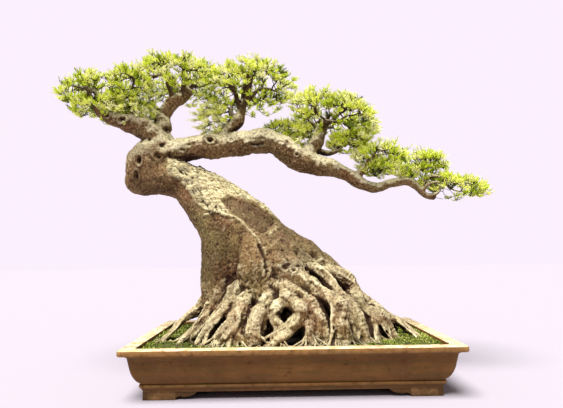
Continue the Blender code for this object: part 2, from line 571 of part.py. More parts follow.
def twig_ends(space, count, rng):
    """Places spread evenly over a dome inside the space, in the pattern of a sunflower's seeds."""
    inner = Vector([h - DOME_INSET * space.leaf_size * LEAF_LENGTH for h in space.half])
    turn = rng.uniform(0, 2 * math.pi)
    ends = []
    for k in range(count):
        share = math.sqrt((k + 0.5) / count)
        angle = turn + k * GOLDEN_ANGLE
        rise = math.sqrt(1 - share**2) * rng.uniform(DOME_THINNEST, 1.0) - DOME_DROOP * share * rng.random()
        offset = Vector((share * math.cos(angle), share * math.sin(angle), rise))
        ends.append(space.centre + Vector([o * i for o, i in zip(offset, inner)]))
    return ends


def add_cone(start, end, radius, end_radius):
    """A tapered twig as a mesh in progress."""
    bm = bmesh.new()
    along = end - start
    place = Matrix.Translation((start + end) / 2) @ along.to_track_quat("Z", "Y").to_matrix().to_4x4()
    bmesh.ops.create_cone(bm, cap_ends=True, segments=TWIG_SIDES, radius1=radius, radius2=end_radius,
                          depth=along.length, matrix=place)
    return bm


def add_leaf(root, direction, roll, size):
    """A flat pointed leaf of eight faces as a mesh in progress."""
    bm = bmesh.new()
    place = (Matrix.Translation(root + direction * size * LEAF_LENGTH * (0.5 - LEAF_ROOT))
             @ direction.to_track_quat("Z", "Y").to_matrix().to_4x4() @ Matrix.Rotation(roll, 4, "Z")
             @ Matrix.Diagonal((size * LEAF_WIDTH / 2, LEAF_THICKNESS / 2, size * LEAF_LENGTH / 2, 1.0)))
    bmesh.ops.create_uvsphere(bm, u_segments=4, v_segments=2, radius=1.0, matrix=place)
    return bm


def is_clear(bm, obstacles):
    """Whether the shape neither touches nor nearly touches any of the obstacles."""
    tree = BVHTree.FromBMesh(bm)
    for obstacle in obstacles:
        if tree.overlap(obstacle):
            return False
        if any(obstacle.find_nearest(vertex.co, CLEARANCE)[0] is not None for vertex in bm.verts):
            return False
    return True


class Mass:
    """A mass of leaves that grows from a bough's tip."""

    def __init__(self, name, tip, space, spaces, obstacles, collections):
        self.name, self.space, self.spaces, self.obstacles = name, space, spaces, obstacles
        self.parts, self.pieces = collections
        place, along, radius = tip
        start = place + along * GAP
        self.radius = radius * STEM_SHARE
        crotch = start + along * STEM_LENGTH
        self.solid = new_object(name, mesh_of(add_cone(start, crotch, self.radius, self.radius), name),
                                self.parts)
        self.nodes = [(crotch, self.radius, 0.0)]  # place, radius, length from the stem

    def fits(self, bm):
        inside = all(self.space.holds(vertex.co, self.spaces) for vertex in bm.verts)
        return inside and is_clear(bm, self.obstacles)

    def keep(self, bm, kind):
        new_object(kind, mesh_of(bm, kind), self.pieces)

    def grow_twig(self, node, end):
        """A twig from a node to its end, which becomes a node, or None where it would not fit."""
        place, radius, run = node
        along = (end - place).normalized()
        thick = max(radius * TWIG_TAPER, TWIG_TIP_RADIUS)
        bm = add_cone(place - along * radius * TWIG_SINK, end, thick, TWIG_TIP_RADIUS)
        if not is_clear(bm, self.obstacles):
            bm.free()
            return None
        self.keep(bm, "twig")
        length = (end - place).length
        self.nodes += [(place + along * length * share, thick + (TWIG_TIP_RADIUS - thick) * share,
                        run + length * share) for share in (0.5, 1.0)]
        return along

    def grow_spray(self, end, along, rng):
        """A fan of leaves at a twig's end, each turned until it fits."""
        base = self.space.centre - Vector((0, 0, self.space.half.z))
        out = ((end - base).normalized() + along).normalized()
        turn = rng.uniform(0, 2 * math.pi)
        for k in range(SPRAY):
            for attempt in range(LEAF_TRIES):
                angle = turn + 2 * math.pi * k / SPRAY + attempt * GOLDEN_ANGLE
                fan = Vector((math.cos(angle), math.sin(angle), LEAF_LIFT)) * LEAF_SPREAD
                direction = (out + fan).normalized()
                root = end - along * LEAF_STEP * self.space.leaf_size * LEAF_LENGTH * k
                bm = add_leaf(root, direction, rng.uniform(-LEAF_ROLL, LEAF_ROLL), self.space.leaf_size)
                if self.fits(bm):
                    self.keep(bm, "leaf")
                    break
                bm.free()

    def grow(self, count, rng):
        waiting = twig_ends(self.space, count, rng)
        while waiting:
            options = [((end - node[0]).length + PATH_WEIGHT * node[2], j, i)
                       for j, end in enumerate(waiting) for i, node in enumerate(self.nodes)]
            _, j, i = min(options)
            end = waiting.pop(j)
            along = self.grow_twig(self.nodes[i], end)
            if along is not None:
                self.grow_spray(end, along, rng)
        boolean(self.solid, "UNION", self.pieces)


def make_masses(parts, limbs):
    tips = {}
    for name, path in [(n, LIMB[a:b + 1]) for n, (a, b) in LIMB_PIECES.items()] + list(SIDE_BOUGHS.items()):
        fine = smooth_path(path, PATH_STEPS)
        tips[name] = (fine[-1][0], (fine[-1][0] - fine[-2][0]).normalized(), fine[-1][1])
    spaces = {name: Space(centre, half) for name, (_, centre, half, _) in MASSES.items()}
    obstacles = [solid_tree(limb) for limb in limbs]
    for index, (name, (bough, _, _, count)) in enumerate(MASSES.items()):
        pieces = new_collection(name + "_pieces")
        mass = Mass(name, tips[bough], spaces[name], list(spaces.values()), obstacles, (parts, pieces))
        mass.grow(count, random.Random(MASS_SEED + index))
        bpy.data.collections.remove(pieces)
        obstacles.append(solid_tree(mass.solid))


# ---------------------------------------------------------------- the whole plant
def paint(parts):
    materials = {name: new_material(name) for name in COLOURS}
    for piece in parts.objects:
        kind = {"pot": "clay", "soil": "soil"}.get(piece.name, "bark")
        if piece.name.startswith("mass"):
            kind = "leaf"
        piece.data.materials.clear()
        piece.data.materials.append(materials[kind])


def main():
    start_afresh()
    parts = new_collection("bonsai_tree")
    cutters = new_collection("cutters")
    make_pot(parts, cutters)
    make_soil(parts)
    trunk = make_trunk(parts, cutters)
    boughs = make_boughs(parts, trunk)
    make_masses(parts, [trunk] + boughs)
    paint(parts)


main()
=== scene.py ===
"""The looks of the bonsai tree: bark, roots, foliage, moss and the clay pot, dressed over the CAD frame.

Metres, +Z up, the front is -Y, in the CAD's own frame.
"""

import math
import random

import bpy
import numpy as np
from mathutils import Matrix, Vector
from mathutils.bvhtree import BVHTree
from mathutils.kdtree import KDTree


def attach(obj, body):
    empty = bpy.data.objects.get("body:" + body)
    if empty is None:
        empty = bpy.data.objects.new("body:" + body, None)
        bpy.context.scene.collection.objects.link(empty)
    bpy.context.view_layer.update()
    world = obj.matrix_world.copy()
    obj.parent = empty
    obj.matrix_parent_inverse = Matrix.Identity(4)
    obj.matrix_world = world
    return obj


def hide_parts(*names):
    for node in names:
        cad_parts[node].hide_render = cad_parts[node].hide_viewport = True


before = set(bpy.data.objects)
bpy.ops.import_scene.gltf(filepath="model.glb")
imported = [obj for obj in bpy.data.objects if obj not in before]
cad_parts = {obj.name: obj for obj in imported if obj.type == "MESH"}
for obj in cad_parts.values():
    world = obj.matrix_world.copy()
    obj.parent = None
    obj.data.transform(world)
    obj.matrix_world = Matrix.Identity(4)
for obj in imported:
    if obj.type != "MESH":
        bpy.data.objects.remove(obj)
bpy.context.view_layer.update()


def mm(*values):
    """Millimetres as metres."""
    return tuple(value / 1000 for value in values)


def traced(*rows):
    """Rows of x, y, z and radius in millimetres, as points (place, radius) in metres."""
    return [(mm(*place), radius / 1000) for *place, radius in rows]


# ---------------------------------------------------------------- the pot, by the source's sizes
POT_LENGTH, POT_DEPTH, POT_HEIGHT = 0.81, 0.49, 0.122
POT_CENTRE = (0.04, 0.0)
POT_CORNER, CORNER_STEPS = 0.012, 8
RIM_PROFILE = [(0.0025, 0.1220), (0.0008, 0.1214), (0.0, 0.1195), (0.0, 0.1112), (0.0006, 0.1100),
               (0.0020, 0.1092), (0.0060, 0.1090), (0.0100, 0.1091), (0.0118, 0.1083), (0.0122, 0.1068),
               (0.0128, 0.1056)]
WALL_PROFILE = [(0.0150, 0.1046), (0.0175, 0.1006), (0.0210, 0.0840), (0.0246, 0.0675), (0.0300, 0.0543),
                (0.0360, 0.0450), (0.0440, 0.0378)]
BASE_PROFILE = [(0.0418, 0.0368), (0.0408, 0.0350), (0.0406, 0.0328), (0.0410, 0.0306), (0.0420, 0.0290),
                (0.0440, 0.0275), (0.0480, 0.0190)]
RIM_WIDTH, WALL_FOOT_INSET, FLOOR_TOP = 0.033, 0.062, 0.034
FOOT_HEIGHT, FOOT_INSET, FOOT_THICKNESS, FOOT_SINK = 0.019, 0.0500, 0.028, 0.004
FOOT_LENGTH, FOOT_DEPTH, FOOT_BEND_STEPS = 0.128, 0.085, 6
LONG_SIDE, POT_SIDE_PIECES = 0.1, 24  # sides longer than this are cut into this many pieces
POT_SWAY = 0.0009  # how far its walls waver

# ---------------------------------------------------------------- the ground
GAP = 0.0003
SOIL_TOP = 0.110
GROUND = SOIL_TOP + GAP
MOSS_COLUMNS, MOSS_ROWS = 190, 110
MOSS_SKIRT, MOUND = 0.006, 0.010  # how deep its edge reaches, and how far it rises round the roots
MOSS_BLADES, MOSS_SEED, MOSS_THIN = 26000, 5, 0.28
BLADE_LENGTH, BLADE_WIDTH = (0.003, 0.0075), (0.0007, 0.0013)
MOSS_SHADES = [(58, 66, 8), (96, 110, 20), (142, 154, 46), (190, 196, 100)]

# ---------------------------------------------------------------- the trunk
# Level sections of the core behind the roots: height, left edge, right edge, half depth.
BOLE = [mm(*row) for row in (
    (100, -120, 170, 75), (180, -142, 172, 84), (280, -182, 150, 100), (360, -193, 80, 98),
    (420, -203, 0, 85), (480, -235, -55, 72), (530, -272, -125, 58), (568, -300, -190, 46))]
BOLE_SIDES = 32
STRANDS = {name: traced(*rows) for name, rows in {
    "neck": [(-180, 0, 510, 50), (-262, 0, 549, 55), (-330, 0, 572, 60), (-385, 0, 568, 58),
             (-412, 0, 568, 46), (-427, 0, 570, 24)],
    "head": [(-378, -5, 545, 48), (-376, -5, 569, 59), (-364, -5, 605, 68), (-338, 0, 648, 50)],
    "left_pillar": [(-262, -10, 540, 40), (-205, -20, 462, 44), (-166, -30, 395, 46), (-158, -40, 318, 50),
                    (-150, -40, 240, 54), (-145, -50, 90, 52)],
    "middle_pillar": [(-235, -10, 560, 36), (-150, -20, 470, 50), (-80, -45, 390, 58), (-48, -60, 300, 68),
                      (-35, -60, 230, 66), (-30, -50, 100, 60)],
    "right_ridge": [(-240, 10, 572, 34), (-135, 10, 506, 38), (-62, 10, 453, 43), (-8, 10, 394, 46),
                    (52, 10, 349, 50), (131, 0, 289, 50), (179, 0, 236, 46), (228, -10, 172, 36),
                    (330, -20, 112, 20)],
    "front_apron": [(-20, -60, 350, 40), (40, -85, 280, 48), (85, -90, 200, 40), (110, -95, 100, 34)],
    "back_ridge": [(-220, 20, 545, 36), (-120, 45, 430, 48), (-40, 70, 320, 54), (60, 95, 210, 54),
                   (140, 115, 100, 44)],
    "back_pillar": [(-205, 20, 480, 36), (-150, 50, 360, 42), (-120, 70, 240, 50), (-105, 85, 90, 50)],
}.items()}
# The thick roots that show in front, from high on the bole to the ground.
FRONT_ROOTS = [traced(*rows) for rows in [
    [(100, -55, 299, 18), (137, -65, 291, 22), (174, -70, 274, 25), (197, -75, 243, 25),
     (208, -80, 211, 25), (233, -85, 185, 22), (269, -90, 162, 20), (298, -95, 134, 16), (316, -100, 105, 9)],
    [(-9, -90, 291, 16), (19, -110, 286, 20), (50, -120, 281, 21), (78, -130, 268, 20),
     (107, -140, 246, 20), (139, -150, 219, 21), (159, -160, 198, 22), (159, -172, 170, 21),
     (158, -178, 143, 20), (159, -182, 110, 20)],
    [(-10, -100, 255, 16), (19, -120, 253, 19), (49, -130, 243, 19), (76, -142, 227, 18),
     (98, -155, 200, 17), (114, -163, 172, 15), (125, -168, 144, 13), (131, -172, 114, 11)],
    [(19, -110, 240, 20), (39, -135, 224, 27), (60, -150, 205, 24), (67, -160, 187, 20),
     (54, -170, 169, 18), (26, -180, 152, 16), (0, -188, 135, 13), (-15, -190, 115, 11)],
    [(31, -130, 226, 18), (8, -145, 205, 16), (-2, -158, 180, 13), (7, -170, 158, 11), (2, -180, 131, 9),
     (11, -185, 113, 8)],
    [(68, -155, 194, 13), (81, -165, 170, 12), (78, -175, 143, 10), (91, -180, 116, 8)],
    [(-15, -100, 237, 20), (-28, -125, 216, 25), (-40, -145, 191, 24), (-52, -160, 167, 22),
     (-56, -172, 142, 22), (-51, -180, 115, 18)],
    [(-70, -100, 225, 22), (-82, -120, 201, 29), (-91, -135, 178, 27), (-110, -148, 158, 18),
     (-129, -155, 136, 13), (-150, -160, 113, 9)],
    [(-91, -135, 188, 18), (-87, -150, 158, 13), (-96, -160, 134, 11), (-108, -165, 113, 9)],
    [(-100, -85, 260, 16), (-110, -100, 240, 21), (-116, -110, 216, 18), (-139, -118, 189, 13),
     (-166, -125, 161, 11), (-190, -130, 130, 9), (-201, -135, 111, 7)],
    [(-163, -75, 229, 13), (-174, -85, 199, 13), (-191, -95, 169, 11), (-216, -100, 142, 9),
     (-243, -105, 118, 7), (-252, -110, 109, 6)],
    [(-195, -40, 221, 16), (-207, -45, 192, 16), (-236, -50, 171, 12), (-270, -55, 146, 9),
     (-295, -60, 121, 7), (-309, -65, 109, 4)],
    [(162, -110, 228, 16), (191, -120, 203, 18), (206, -130, 174, 17), (216, -140, 145, 15),
     (228, -150, 110, 11)],
    [(235, -90, 181, 13), (248, -110, 153, 12), (254, -125, 127, 10), (265, -130, 104, 8)],
    [(214, -20, 235, 18), (252, -20, 199, 19), (299, -30, 164, 17), (341, -35, 145, 13),
     (371, -50, 121, 10), (392, -60, 101, 7)],
    [(82, -80, 300, 13), (108, -90, 295, 16), (137, -105, 266, 17), (158, -120, 234, 16),
     (177, -130, 204, 15), (184, -140, 170, 13), (192, -150, 135, 11), (197, -155, 107, 9)],
    [(113, -85, 296, 13), (135, -95, 279, 16), (147, -105, 252, 15), (159, -115, 225, 13),
     (176, -125, 204, 12), (184, -140, 174, 10), (185, -150, 139, 8)],
    [(79, -115, 259, 13), (94, -130, 222, 14), (106, -145, 202, 13), (118, -155, 177, 11),
     (124, -165, 137, 9)],
    [(187, -90, 200, 13), (215, -100, 171, 14), (229, -110, 148, 12), (243, -120, 120, 10)],
    [(37, -130, 230, 13), (52, -148, 203, 14), (72, -165, 181, 12), (82, -178, 147, 9)],
    [(-58, -90, 228, 13), (-81, -125, 202, 15), (-106, -140, 180, 13), (-135, -150, 154, 10),
     (-155, -155, 132, 8)],
    [(-7, -100, 228, 15), (-28, -135, 202, 17), (-34, -155, 174, 14), (-39, -170, 138, 11)],
]]
# The seeded surface roots, by the source's rule but with more points and slimmer tips.
ROOT_COUNT, ROOT_SEED, ROOT_POINTS = 30, 7, 13
ROOT_ANGLE_SCATTER, ROOT_START_SHARE, ROOT_SHORTEST = 0.35, 0.88, 0.86
ROOT_START_HEIGHT, ROOT_START_SPREAD, ROOT_END_DEPTH = 0.225, 0.050, 0.010
ROOT_RADIUS, ROOT_TIP_RADIUS, ROOT_SWAY, ROOT_FLARE = 0.025, 0.0065, 0.016, 1.7
ROOT_CENTRE, ROOT_REACH = (0.055, 0.0), (0.348, 0.195)
FRONT_SHARE = -0.55  # seeded roots that head further to the front than this give way to FRONT_ROOTS
ROOT_MIDDLE, ROOT_ROUNDING = 0.04, 1.6  # where roots spread from, and how much wider than deep they spread
TURN = 6.28  # a turn in radians, for a random start
# Slim roots over each thick one: where they leave it, how far they drift aside, their radius and waver.
SLIM_ROOTS, SLIM_SEED = 3, 19
SLIM_START, SLIM_LEAN, SLIM_RADIUS = (0.10, 0.55), (0.014, 0.045), (0.0034, 0.0072)
SLIM_TAPER, SLIM_WAVE = 0.45, 0.006
# Rootlets at each root's foot: how high they start, how wide they fan, and the room in x and y they keep to.
ROOTLETS, ROOTLET_SEED, ROOTLET_POINTS = 8, 17, 10
ROOTLET_BAND, ROOTLET_FAN, ROOTLET_ROOM = 0.030, 1.1, ((-0.325, 0.405), (-0.207, 0.207))
ROOTLET_LENGTH, ROOTLET_RADIUS, ROOTLET_TAPER = (0.03, 0.075), (0.0013, 0.0032), 0.6
ROOTLET_DEPTH, ROOTLET_SWAY, ROOTLET_HUMP = 0.003, 0.010, 0.006

# ---------------------------------------------------------------- the bark
BODY, ROOT, BOUGH = 0, 1, 2  # kinds of strand
STRAND_SIDES, ROOTLET_SIDES = (14, 12, 14), 6
FRONT, BACK = -1, 1
# How far each kind swells and narrows along its length, and how far it bends, as shares of its radius.
ROOT_KNOBS, LIMB_KNOBS, BOUGH_KNOBS, FORK_KNOBS = (0.20, 0.45), (0.10, 0.10), (0.26, 0.30), (0.25, 0.30)
BARK_VOXEL = 0.0030
BARK_SPLIT = 0.24  # the height where the bark's mesh is parted in two
BARK_BURIED, BARK_SEEN = 0.006, 0.0055  # how deep it goes into the ground, and how deep faces are kept
# Relief in metres on wood of full radius: what all wood has, and what roots and limbs add to it.
FULL_RADIUS = 0.04
SWELLS, GRIT, GRAIN, ROOT_GRAIN, LIMB_GRAIN = 0.0055, 0.0022, 0.0030, 0.0066, -0.0008
ROOT_LUMPS, LIMB_LUMPS, ROOT_WRINKLES, LIMB_WRINKLES = 0.0018, 0.0012, 0.0048, 0.0018
CREST = 0.7  # the mean of ridged noise
FIBRES, SPLINTERS, RUDDY_DEPTH = 0.0062, 0.0022, 0.0045
SEAM_STEP, RIM_PALENESS = 0.003, 110
# Where thin boughs darken in the crown, the head pales and the bole's foot pales: from a place to another.
CROWN_SHADE, HEAD_EDGE, FOOT_OF_BOLE = (0.66, 0.72), (-0.33, -0.38), (0.30, 0.19)
SHELTER_REACH, SHELTER_RAYS, SHELTER_LIFT = 0.045, 7, 0.0012

# ---------------------------------------------------------------- the boughs, as in the source
LIMB = traced((-330, 0, 640, 38), (-263, 0, 649, 39), (-219, 0, 655, 38), (-131, 0, 664, 36),
            (-36, 0, 672, 36), (16, 0, 655, 38), (75, 0, 613, 34), (119, 0, 595, 32), (163, 0, 588, 26),
            (207, 0, 573, 21), (250, 0, 543, 18), (294, 0, 528, 15), (338, 0, 541, 13), (386, 0, 546, 12.5),
            (415, 0, 529, 11), (437, 0, 506, 9.5), (470, 0, 497, 8))
SIDE_BOUGHS = {name: traced(*rows) for name, rows in {
    "bough_left": [(-340, -10, 660, 36), (-372, -20, 704, 29), (-432, -30, 722, 23), (-486, -30, 748, 18),
                   (-520, -20, 780, 13)],
    "bough_top": [(-325, 10, 665, 34), (-340, 20, 740, 26), (-316, 20, 786, 22), (-275, 10, 808, 18),
                  (-250, 0, 836, 14)],
    "bough_middle": [(-175, 0, 672, 24), (-128, 10, 716, 21), (-104, 10, 756, 18), (-94, 10, 796, 13)],
    "bough_right": [(80, 0, 612, 22), (122, 0, 660, 19), (142, 0, 700, 15), (152, 0, 728, 11)],
    "bough_back": [(0, 5, 665, 16), (14, 60, 676, 11), (22, 100, 698, 8)],
    "bough_low": [(120, 5, 640, 11), (160, 20, 638, 9), (190, 20, 642, 7)],
    "bough_far": [(235, 0, 556, 13), (262, -10, 582, 10), (280, -20, 600, 7.5)],
    "bough_far_right": [(362, 2, 544, 10.5), (385, 12, 566, 8.5), (405, 20, 580, 6.5)],
    "bough_inner": [(-405, -25, 712, 12), (-404, -40, 748, 10), (-402, -50, 772, 7.5)],
}.items()}
TIP_BOUGH = LIMB[11:17]  # the limb's end, which bears a mass of its own
LIMB_NODES = ["bough_main", "bough_outer", "bough_tip"] + list(SIDE_BOUGHS)

# ---------------------------------------------------------------- marks on the bark, in millimetres
# Holes and healed scars: x, z, half width, half height, depth and rim height; and darkness, partly the knot's
# own dark wood and partly painted shade in the hollow.
MARKS = {
    FRONT: [
        (-381, 599, 10, 15, 10, 1.2, 0.95), (-389, 553, 10, 18, 3, 2, 0.35),
        (-389, 553, 5, 10, 5, 0.2, 0.9), (-323, 618, 16.5, 13.5, 4, 2, 0.5),
        (-319, 616, 9, 7, 4, 0.6, 0.85), (-261, 634, 9.9, 8.1, 3, 1, 0.5),
        (-181, 671, 13.2, 10.8, 10, 3, 1), (-130, 667, 9.9, 8.1, 0, 3, 0.1), (-250, 578, 27, 21, 6, 3, 0.3),
        (22, 309, 12.1, 9.9, 6, 0.8, 0.9), (47, 303, 8.8, 7.2, 5, 0.6, 0.9), (85, 300, 11, 9, 6, 2, 0.9),
        (35, 316, 7.7, 6.3, 4, 1, 0.8), (64, 309, 8.8, 7.2, 5, 1, 0.8),
        (-45, 297, 14.3, 11.7, -1.5, 1.2, 0.15), (50, 352, 24.2, 19.8, -6, 2, 0),
        (22, 352, 6.6, 5.4, 5, 1, 0.9), (112, 335, 19.8, 16.2, 4, 2, 0.6),
        (-436, 720, 14.3, 11.7, 8, 3, 0.9), (-483, 738, 11, 9, 4, 3, 0.6), (60, 625, 8.8, 7.2, 3, 2, 0.5)],
    BACK: [
        (-340, 590, 19.8, 16.2, 10, 3, 0.9), (-210, 665, 14.3, 11.7, 8, 3, 0.9),
        (-60, 668, 12.1, 9.9, 5, 3, 0.7), (-120, 400, 17.6, 14.4, 9, 3, 0.9),
        (-20, 330, 24.2, 19.8, -5, 2, 0), (90, 270, 14.3, 11.7, 7, 3, 0.9)],
}
# Darker patches: x, z, half width, half height; and darkness.
STAINS = [
    (-165, 335, 60, 110, 0.55), (-115, 290, 22, 70, 0.45), (52, 310, 55, 12, 0.6),
    (-225, 485, 30, 50, 0.35), (-330, 535, 80, 22, 0.3), (100, 345, 40, 18, 0.35),
    (-384, 625, 30, 18, 0.35), (80, 375, 110, 55, 0.48), (-150, 250, 70, 40, 0.35)]
# Lips and clefts: points (x, z), side, height and half width; and paleness and darkness, the darkness a
# painted shade in the clefts.
SEAMS = [
    ([(-196, 452), (-160, 455), (-124, 449), (-98, 436), (-70, 411), (-46, 386), (-30, 362), (-22, 343)],
     FRONT, 4.2, 3.4, 1.0, 0.0),
    ([(-145, 395), (-139, 420), (-128, 434), (-112, 436)], FRONT, 1.6, 2.6, 0.5, 0.0),
    ([(-40, 366), (-29, 345), (-23, 328), (-18, 300)], FRONT, -6, 4.5, 0.0, 0.9),
    ([(-94, 400), (-106, 350), (-113, 297), (-122, 245)], FRONT, -6, 9, 0.0, 0.5),
    ([(-12, 398), (0, 408), (10, 418)], FRONT, 4, 6, 0.7, 0.0),
    ([(-20, 352), (20, 385), (60, 360), (100, 330)], FRONT, 3.5, 6, 0.1, 0.1),
    ([(-66, 652), (-58, 672), (-41, 682), (-20, 676), (-10, 660)], FRONT, 3, 4, 0.2, 0.0),
    ([(-66, 650), (-50, 646), (-36, 650)], FRONT, -7, 4, 0.0, 0.9),
    ([(-230, 470), (-170, 410), (-130, 330), (-110, 250)], BACK, -6, 7, 0.0, 0.6),
    ([(-150, 450), (-60, 370), (20, 290)], BACK, 4, 6, 0.5, 0.0),
    ([(-60, 350), (-10, 280), (10, 220)], BACK, -6, 6, 0.0, 0.8),
]
# Outlines (x, z) of the bare bleached wood, and of the ruddy hollow beside it.
BARE_WOOD = [mm(*row) for row in (
    (-300, 562), (-305, 640), (-150, 600), (40, 470), (12, 436), (-55, 488), (-126, 505), (-155, 492),
    (-122, 449), (-160, 457), (-190, 462), (-223, 484), (-245, 521), (-262, 548))]
RUDDY_WOOD = [mm(*row) for row in (
    (-148, 487), (-122, 500), (-52, 483), (6, 436), (-20, 398), (-40, 390), (-72, 418), (-116, 449))]

# ---------------------------------------------------------------- the leaf masses, in the source's places
MASSES = {name: (bough, mm(*centre), mm(*half), ends) for name, bough, centre, half, ends in [
    ("mass_left", "bough_left", (-540, -10, 812), (112, 140, 90), 14),
    ("mass_top", "bough_top", (-290, 0, 868), (152, 165, 82), 19),
    ("mass_middle", "bough_middle", (-65, 0, 832), (158, 165, 92), 20),
    ("mass_right", "bough_right", (180, 0, 750), (148, 155, 82), 18),
    ("mass_inner", "bough_inner", (-405, -50, 812), (78, 120, 76), 8),
    ("mass_back", "bough_back", (30, 125, 735), (80, 75, 46), 6),
    ("mass_low", "bough_low", (222, 15, 662), (76, 110, 44), 7),
    ("mass_far", "bough_far", (305, -20, 608), (95, 115, 66), 10),
    ("mass_far_right", "bough_far_right", (435, 20, 592), (95, 105, 62), 9),
    ("mass_tip", "bough_tip", (520, 0, 528), (120, 90, 56), 11),
]}
MASS_SEED = 31
GOLDEN_ANGLE = math.pi * (3 - math.sqrt(5))
# Leaf greens from shaded to lit: the darker go inside a mass and the lighter on its outside and top, a
# painted light and shade.
LEAF_SHADED_TO_LIT = [(60, 70, 6), (154, 174, 26), (220, 235, 70), (248, 254, 122), (254, 255, 184)]
PATH_WEIGHT = 0.35
STEM_LENGTH, STEM_SHARE = 0.022, 0.85
DOME_INSET, DOME_THINNEST, DOME_DROOP = 0.040, 0.3, 0.6  # close to the source's coarse twigs
OWN_SIDE = 0.02
# Finer twigs: ends for a full-sized mass, how far inside its space, how thin the dome, its droop.
FINE_ROUNDS = [(60, 0.030, 0.45, 0.5), (230, 0.022, 0.5, 0.4)]
SKIRT, SKIRT_INSET = 120, 0.020  # ends in the lower half of its space
BOUGH_SHARE = 0.4  # of its bough, from the tip back, that also bears twigs
FULL_HALF = 0.158  # the half width of a full-sized mass
FULL_AREA = FULL_HALF * 0.165
FORK_RUN, SPUR_RUN = 0.3, 0.06
CLUMPS, CLUMP_GAPS, SKIRT_GAPS = 34, 0.36, 0.36 + 0.06  # noise that opens gaps between clumps
# How each crown leans off its space: a shift, and how much lower it gets for each metre to the right.
LEANS = {
    "mass_left": ((0.016, 0.0, -0.012), 0.0), "mass_top": ((0.004, 0.0, -0.014), 0.0),
    "mass_middle": ((-0.010, 0.0, 0.0), 0.0), "mass_right": ((-0.006, 0.0, -0.008), 0.24),
    "mass_tip": ((0.0, 0.0, -0.002), 0.12),
}
# Looser leaves low down between a mass and the limb: centre, half size, ends.
FILLS = {
    "mass_left": [((-0.505, -0.02, 0.762), (0.075, 0.090, 0.034), 60)],
    "mass_inner": [((-0.410, -0.03, 0.750), (0.065, 0.085, 0.044), 60)],
    "mass_top": [((-0.368, 0.0, 0.768), (0.040, 0.080, 0.040), 34)],
    "mass_middle": [((-0.176, 0.0, 0.738), (0.056, 0.075, 0.040), 64)],
    "mass_right": [((0.095, 0.02, 0.692), (0.066, 0.065, 0.032), 54),
                   ((0.262, 0.0, 0.706), (0.044, 0.085, 0.034), 44)],
    "mass_far": [((0.318, 0.0, 0.582), (0.058, 0.065, 0.028), 56)],
    "mass_far_right": [((0.405, 0.0, 0.570), (0.045, 0.055, 0.020), 30)],
}
# Crooked forks from the bough: how many in a full-sized mass, how far out and up their ends stand as shares
# of its room, how thick they start, and how far they wander and arch as shares of their length.
FORKS_PER_MASS, FORK_SEED, FORK_STEPS, FORK_REACH, FORK_RISE = 7, 61, 4, (0.38, 0.62), (-0.25, 0.30)
FORK_SHARE, FORK_THICKEST, FORK_TIP, FORK_WANDER, FORK_LIFT = 0.62, 0.0095, 0.0030, 0.13, 0.16
TWIG_TIP_RADIUS = 0.00075
TWIG_SIDES = [(0.004, 7), (0.0016, 5), (0, 3)]  # a tube's sides where its radius is above each measure
TWIG_FLARE, SMOOTH_TWIG = 1.15, 0.0022
TWIG_NODES, TWIG_WANDER, TWIG_SAG = 3, 0.09, 0.05
SHOOTS, INNER_SHOOTS, SHOOT_LENGTH, SHOOT_SPREAD = 4, 2, (0.006, 0.020), 0.7
LONG_SHOOTS = 0.08  # the share of them that grow half as long again
LEAVES, LEAF_LENGTH, LEAF_WIDTH = 8, (0.009, 0.0165), 0.0038

# ---------------------------------------------------------------- stage, light and camera
FLOOR_COLOUR, FILL_COLOUR = (0.452, 0.417, 0.487, 1.0), (0.34, 0.325, 0.31, 1.0)
SUN_POWER, SUN_WIDTH, SUN_COLOUR, SUN_WAY = 6.5, 34, (1.0, 0.98, 0.93), (0.22, 0.45, -1.0)
LENS, CAMERA_PLACE, CAMERA_TURN = 28.553, (0.0030, -1.2912, 0.3339), (1.68581, 0.01199, -0.01109)


# ---------------------------------------------------------------- numbers and noise
def unit(vectors):
    """Vectors brought to length 1."""
    return vectors / np.maximum(np.linalg.norm(vectors, axis=-1, keepdims=True), 1e-12)


def noise(places, seed=0):
    """Smooth value noise, 0 to 1, at an array of places."""
    cell = np.floor(places)
    share = places - cell
    share = share * share * (3 - 2 * share)
    cell = cell.astype(np.int64)
    total = np.zeros(len(places))
    for dx in (0, 1):
        for dy in (0, 1):
            for dz in (0, 1):
                key = ((cell[:, 0] + dx) * 73856093 ^ (cell[:, 1] + dy) * 19349663
                       ^ (cell[:, 2] + dz) * 83492791 ^ (seed + 1) * 40503)
                key = ((key ^ (key >> 13)) * 1274126177) & 0x7FFFFFFF
                key = ((key ^ (key >> 15)) * 668265263) & 0x7FFFFFFF
                weight = ((share[:, 0] if dx else 1 - share[:, 0]) * (share[:, 1] if dy else 1 - share[:, 1])
                          * (share[:, 2] if dz else 1 - share[:, 2]))
                total += weight * (((key >> 8) & 0xFFFF) / 65535)
    return total


def layered(places, octaves, seed=0):
    """Noise summed over octaves, about -1 to 1."""
    total, size = np.zeros(len(places)), 1.0
    for octave in range(octaves):
        total += (2 * noise(places * 2**octave, seed + octave) - 1) * size
        size *= 0.5
    return total / (2 - 2 * 0.5**octaves)


def ridged(places, octaves, seed=0):
    """Noise with sharp crests, 0 to 1."""
    total, size, most = np.zeros(len(places)), 1.0, 0.0
    for octave in range(octaves):
        total += (1 - np.abs(2 * noise(places * 2**octave, seed + octave) - 1)) * size
        most += size
        size *= 0.5
    return total / most


def ramp(values, low, high):
    """A smooth step from 0 at low to 1 at high, which may be the lower of the two."""
    share = np.clip((values - low) / (high - low), 0, 1)
    return share * share * (3 - 2 * share)


def bell(values, power=2):
    """1 at 0, fading to 0 a little beyond 1 to either side; a higher power gives it a flatter top."""
    return np.exp(-values**power)


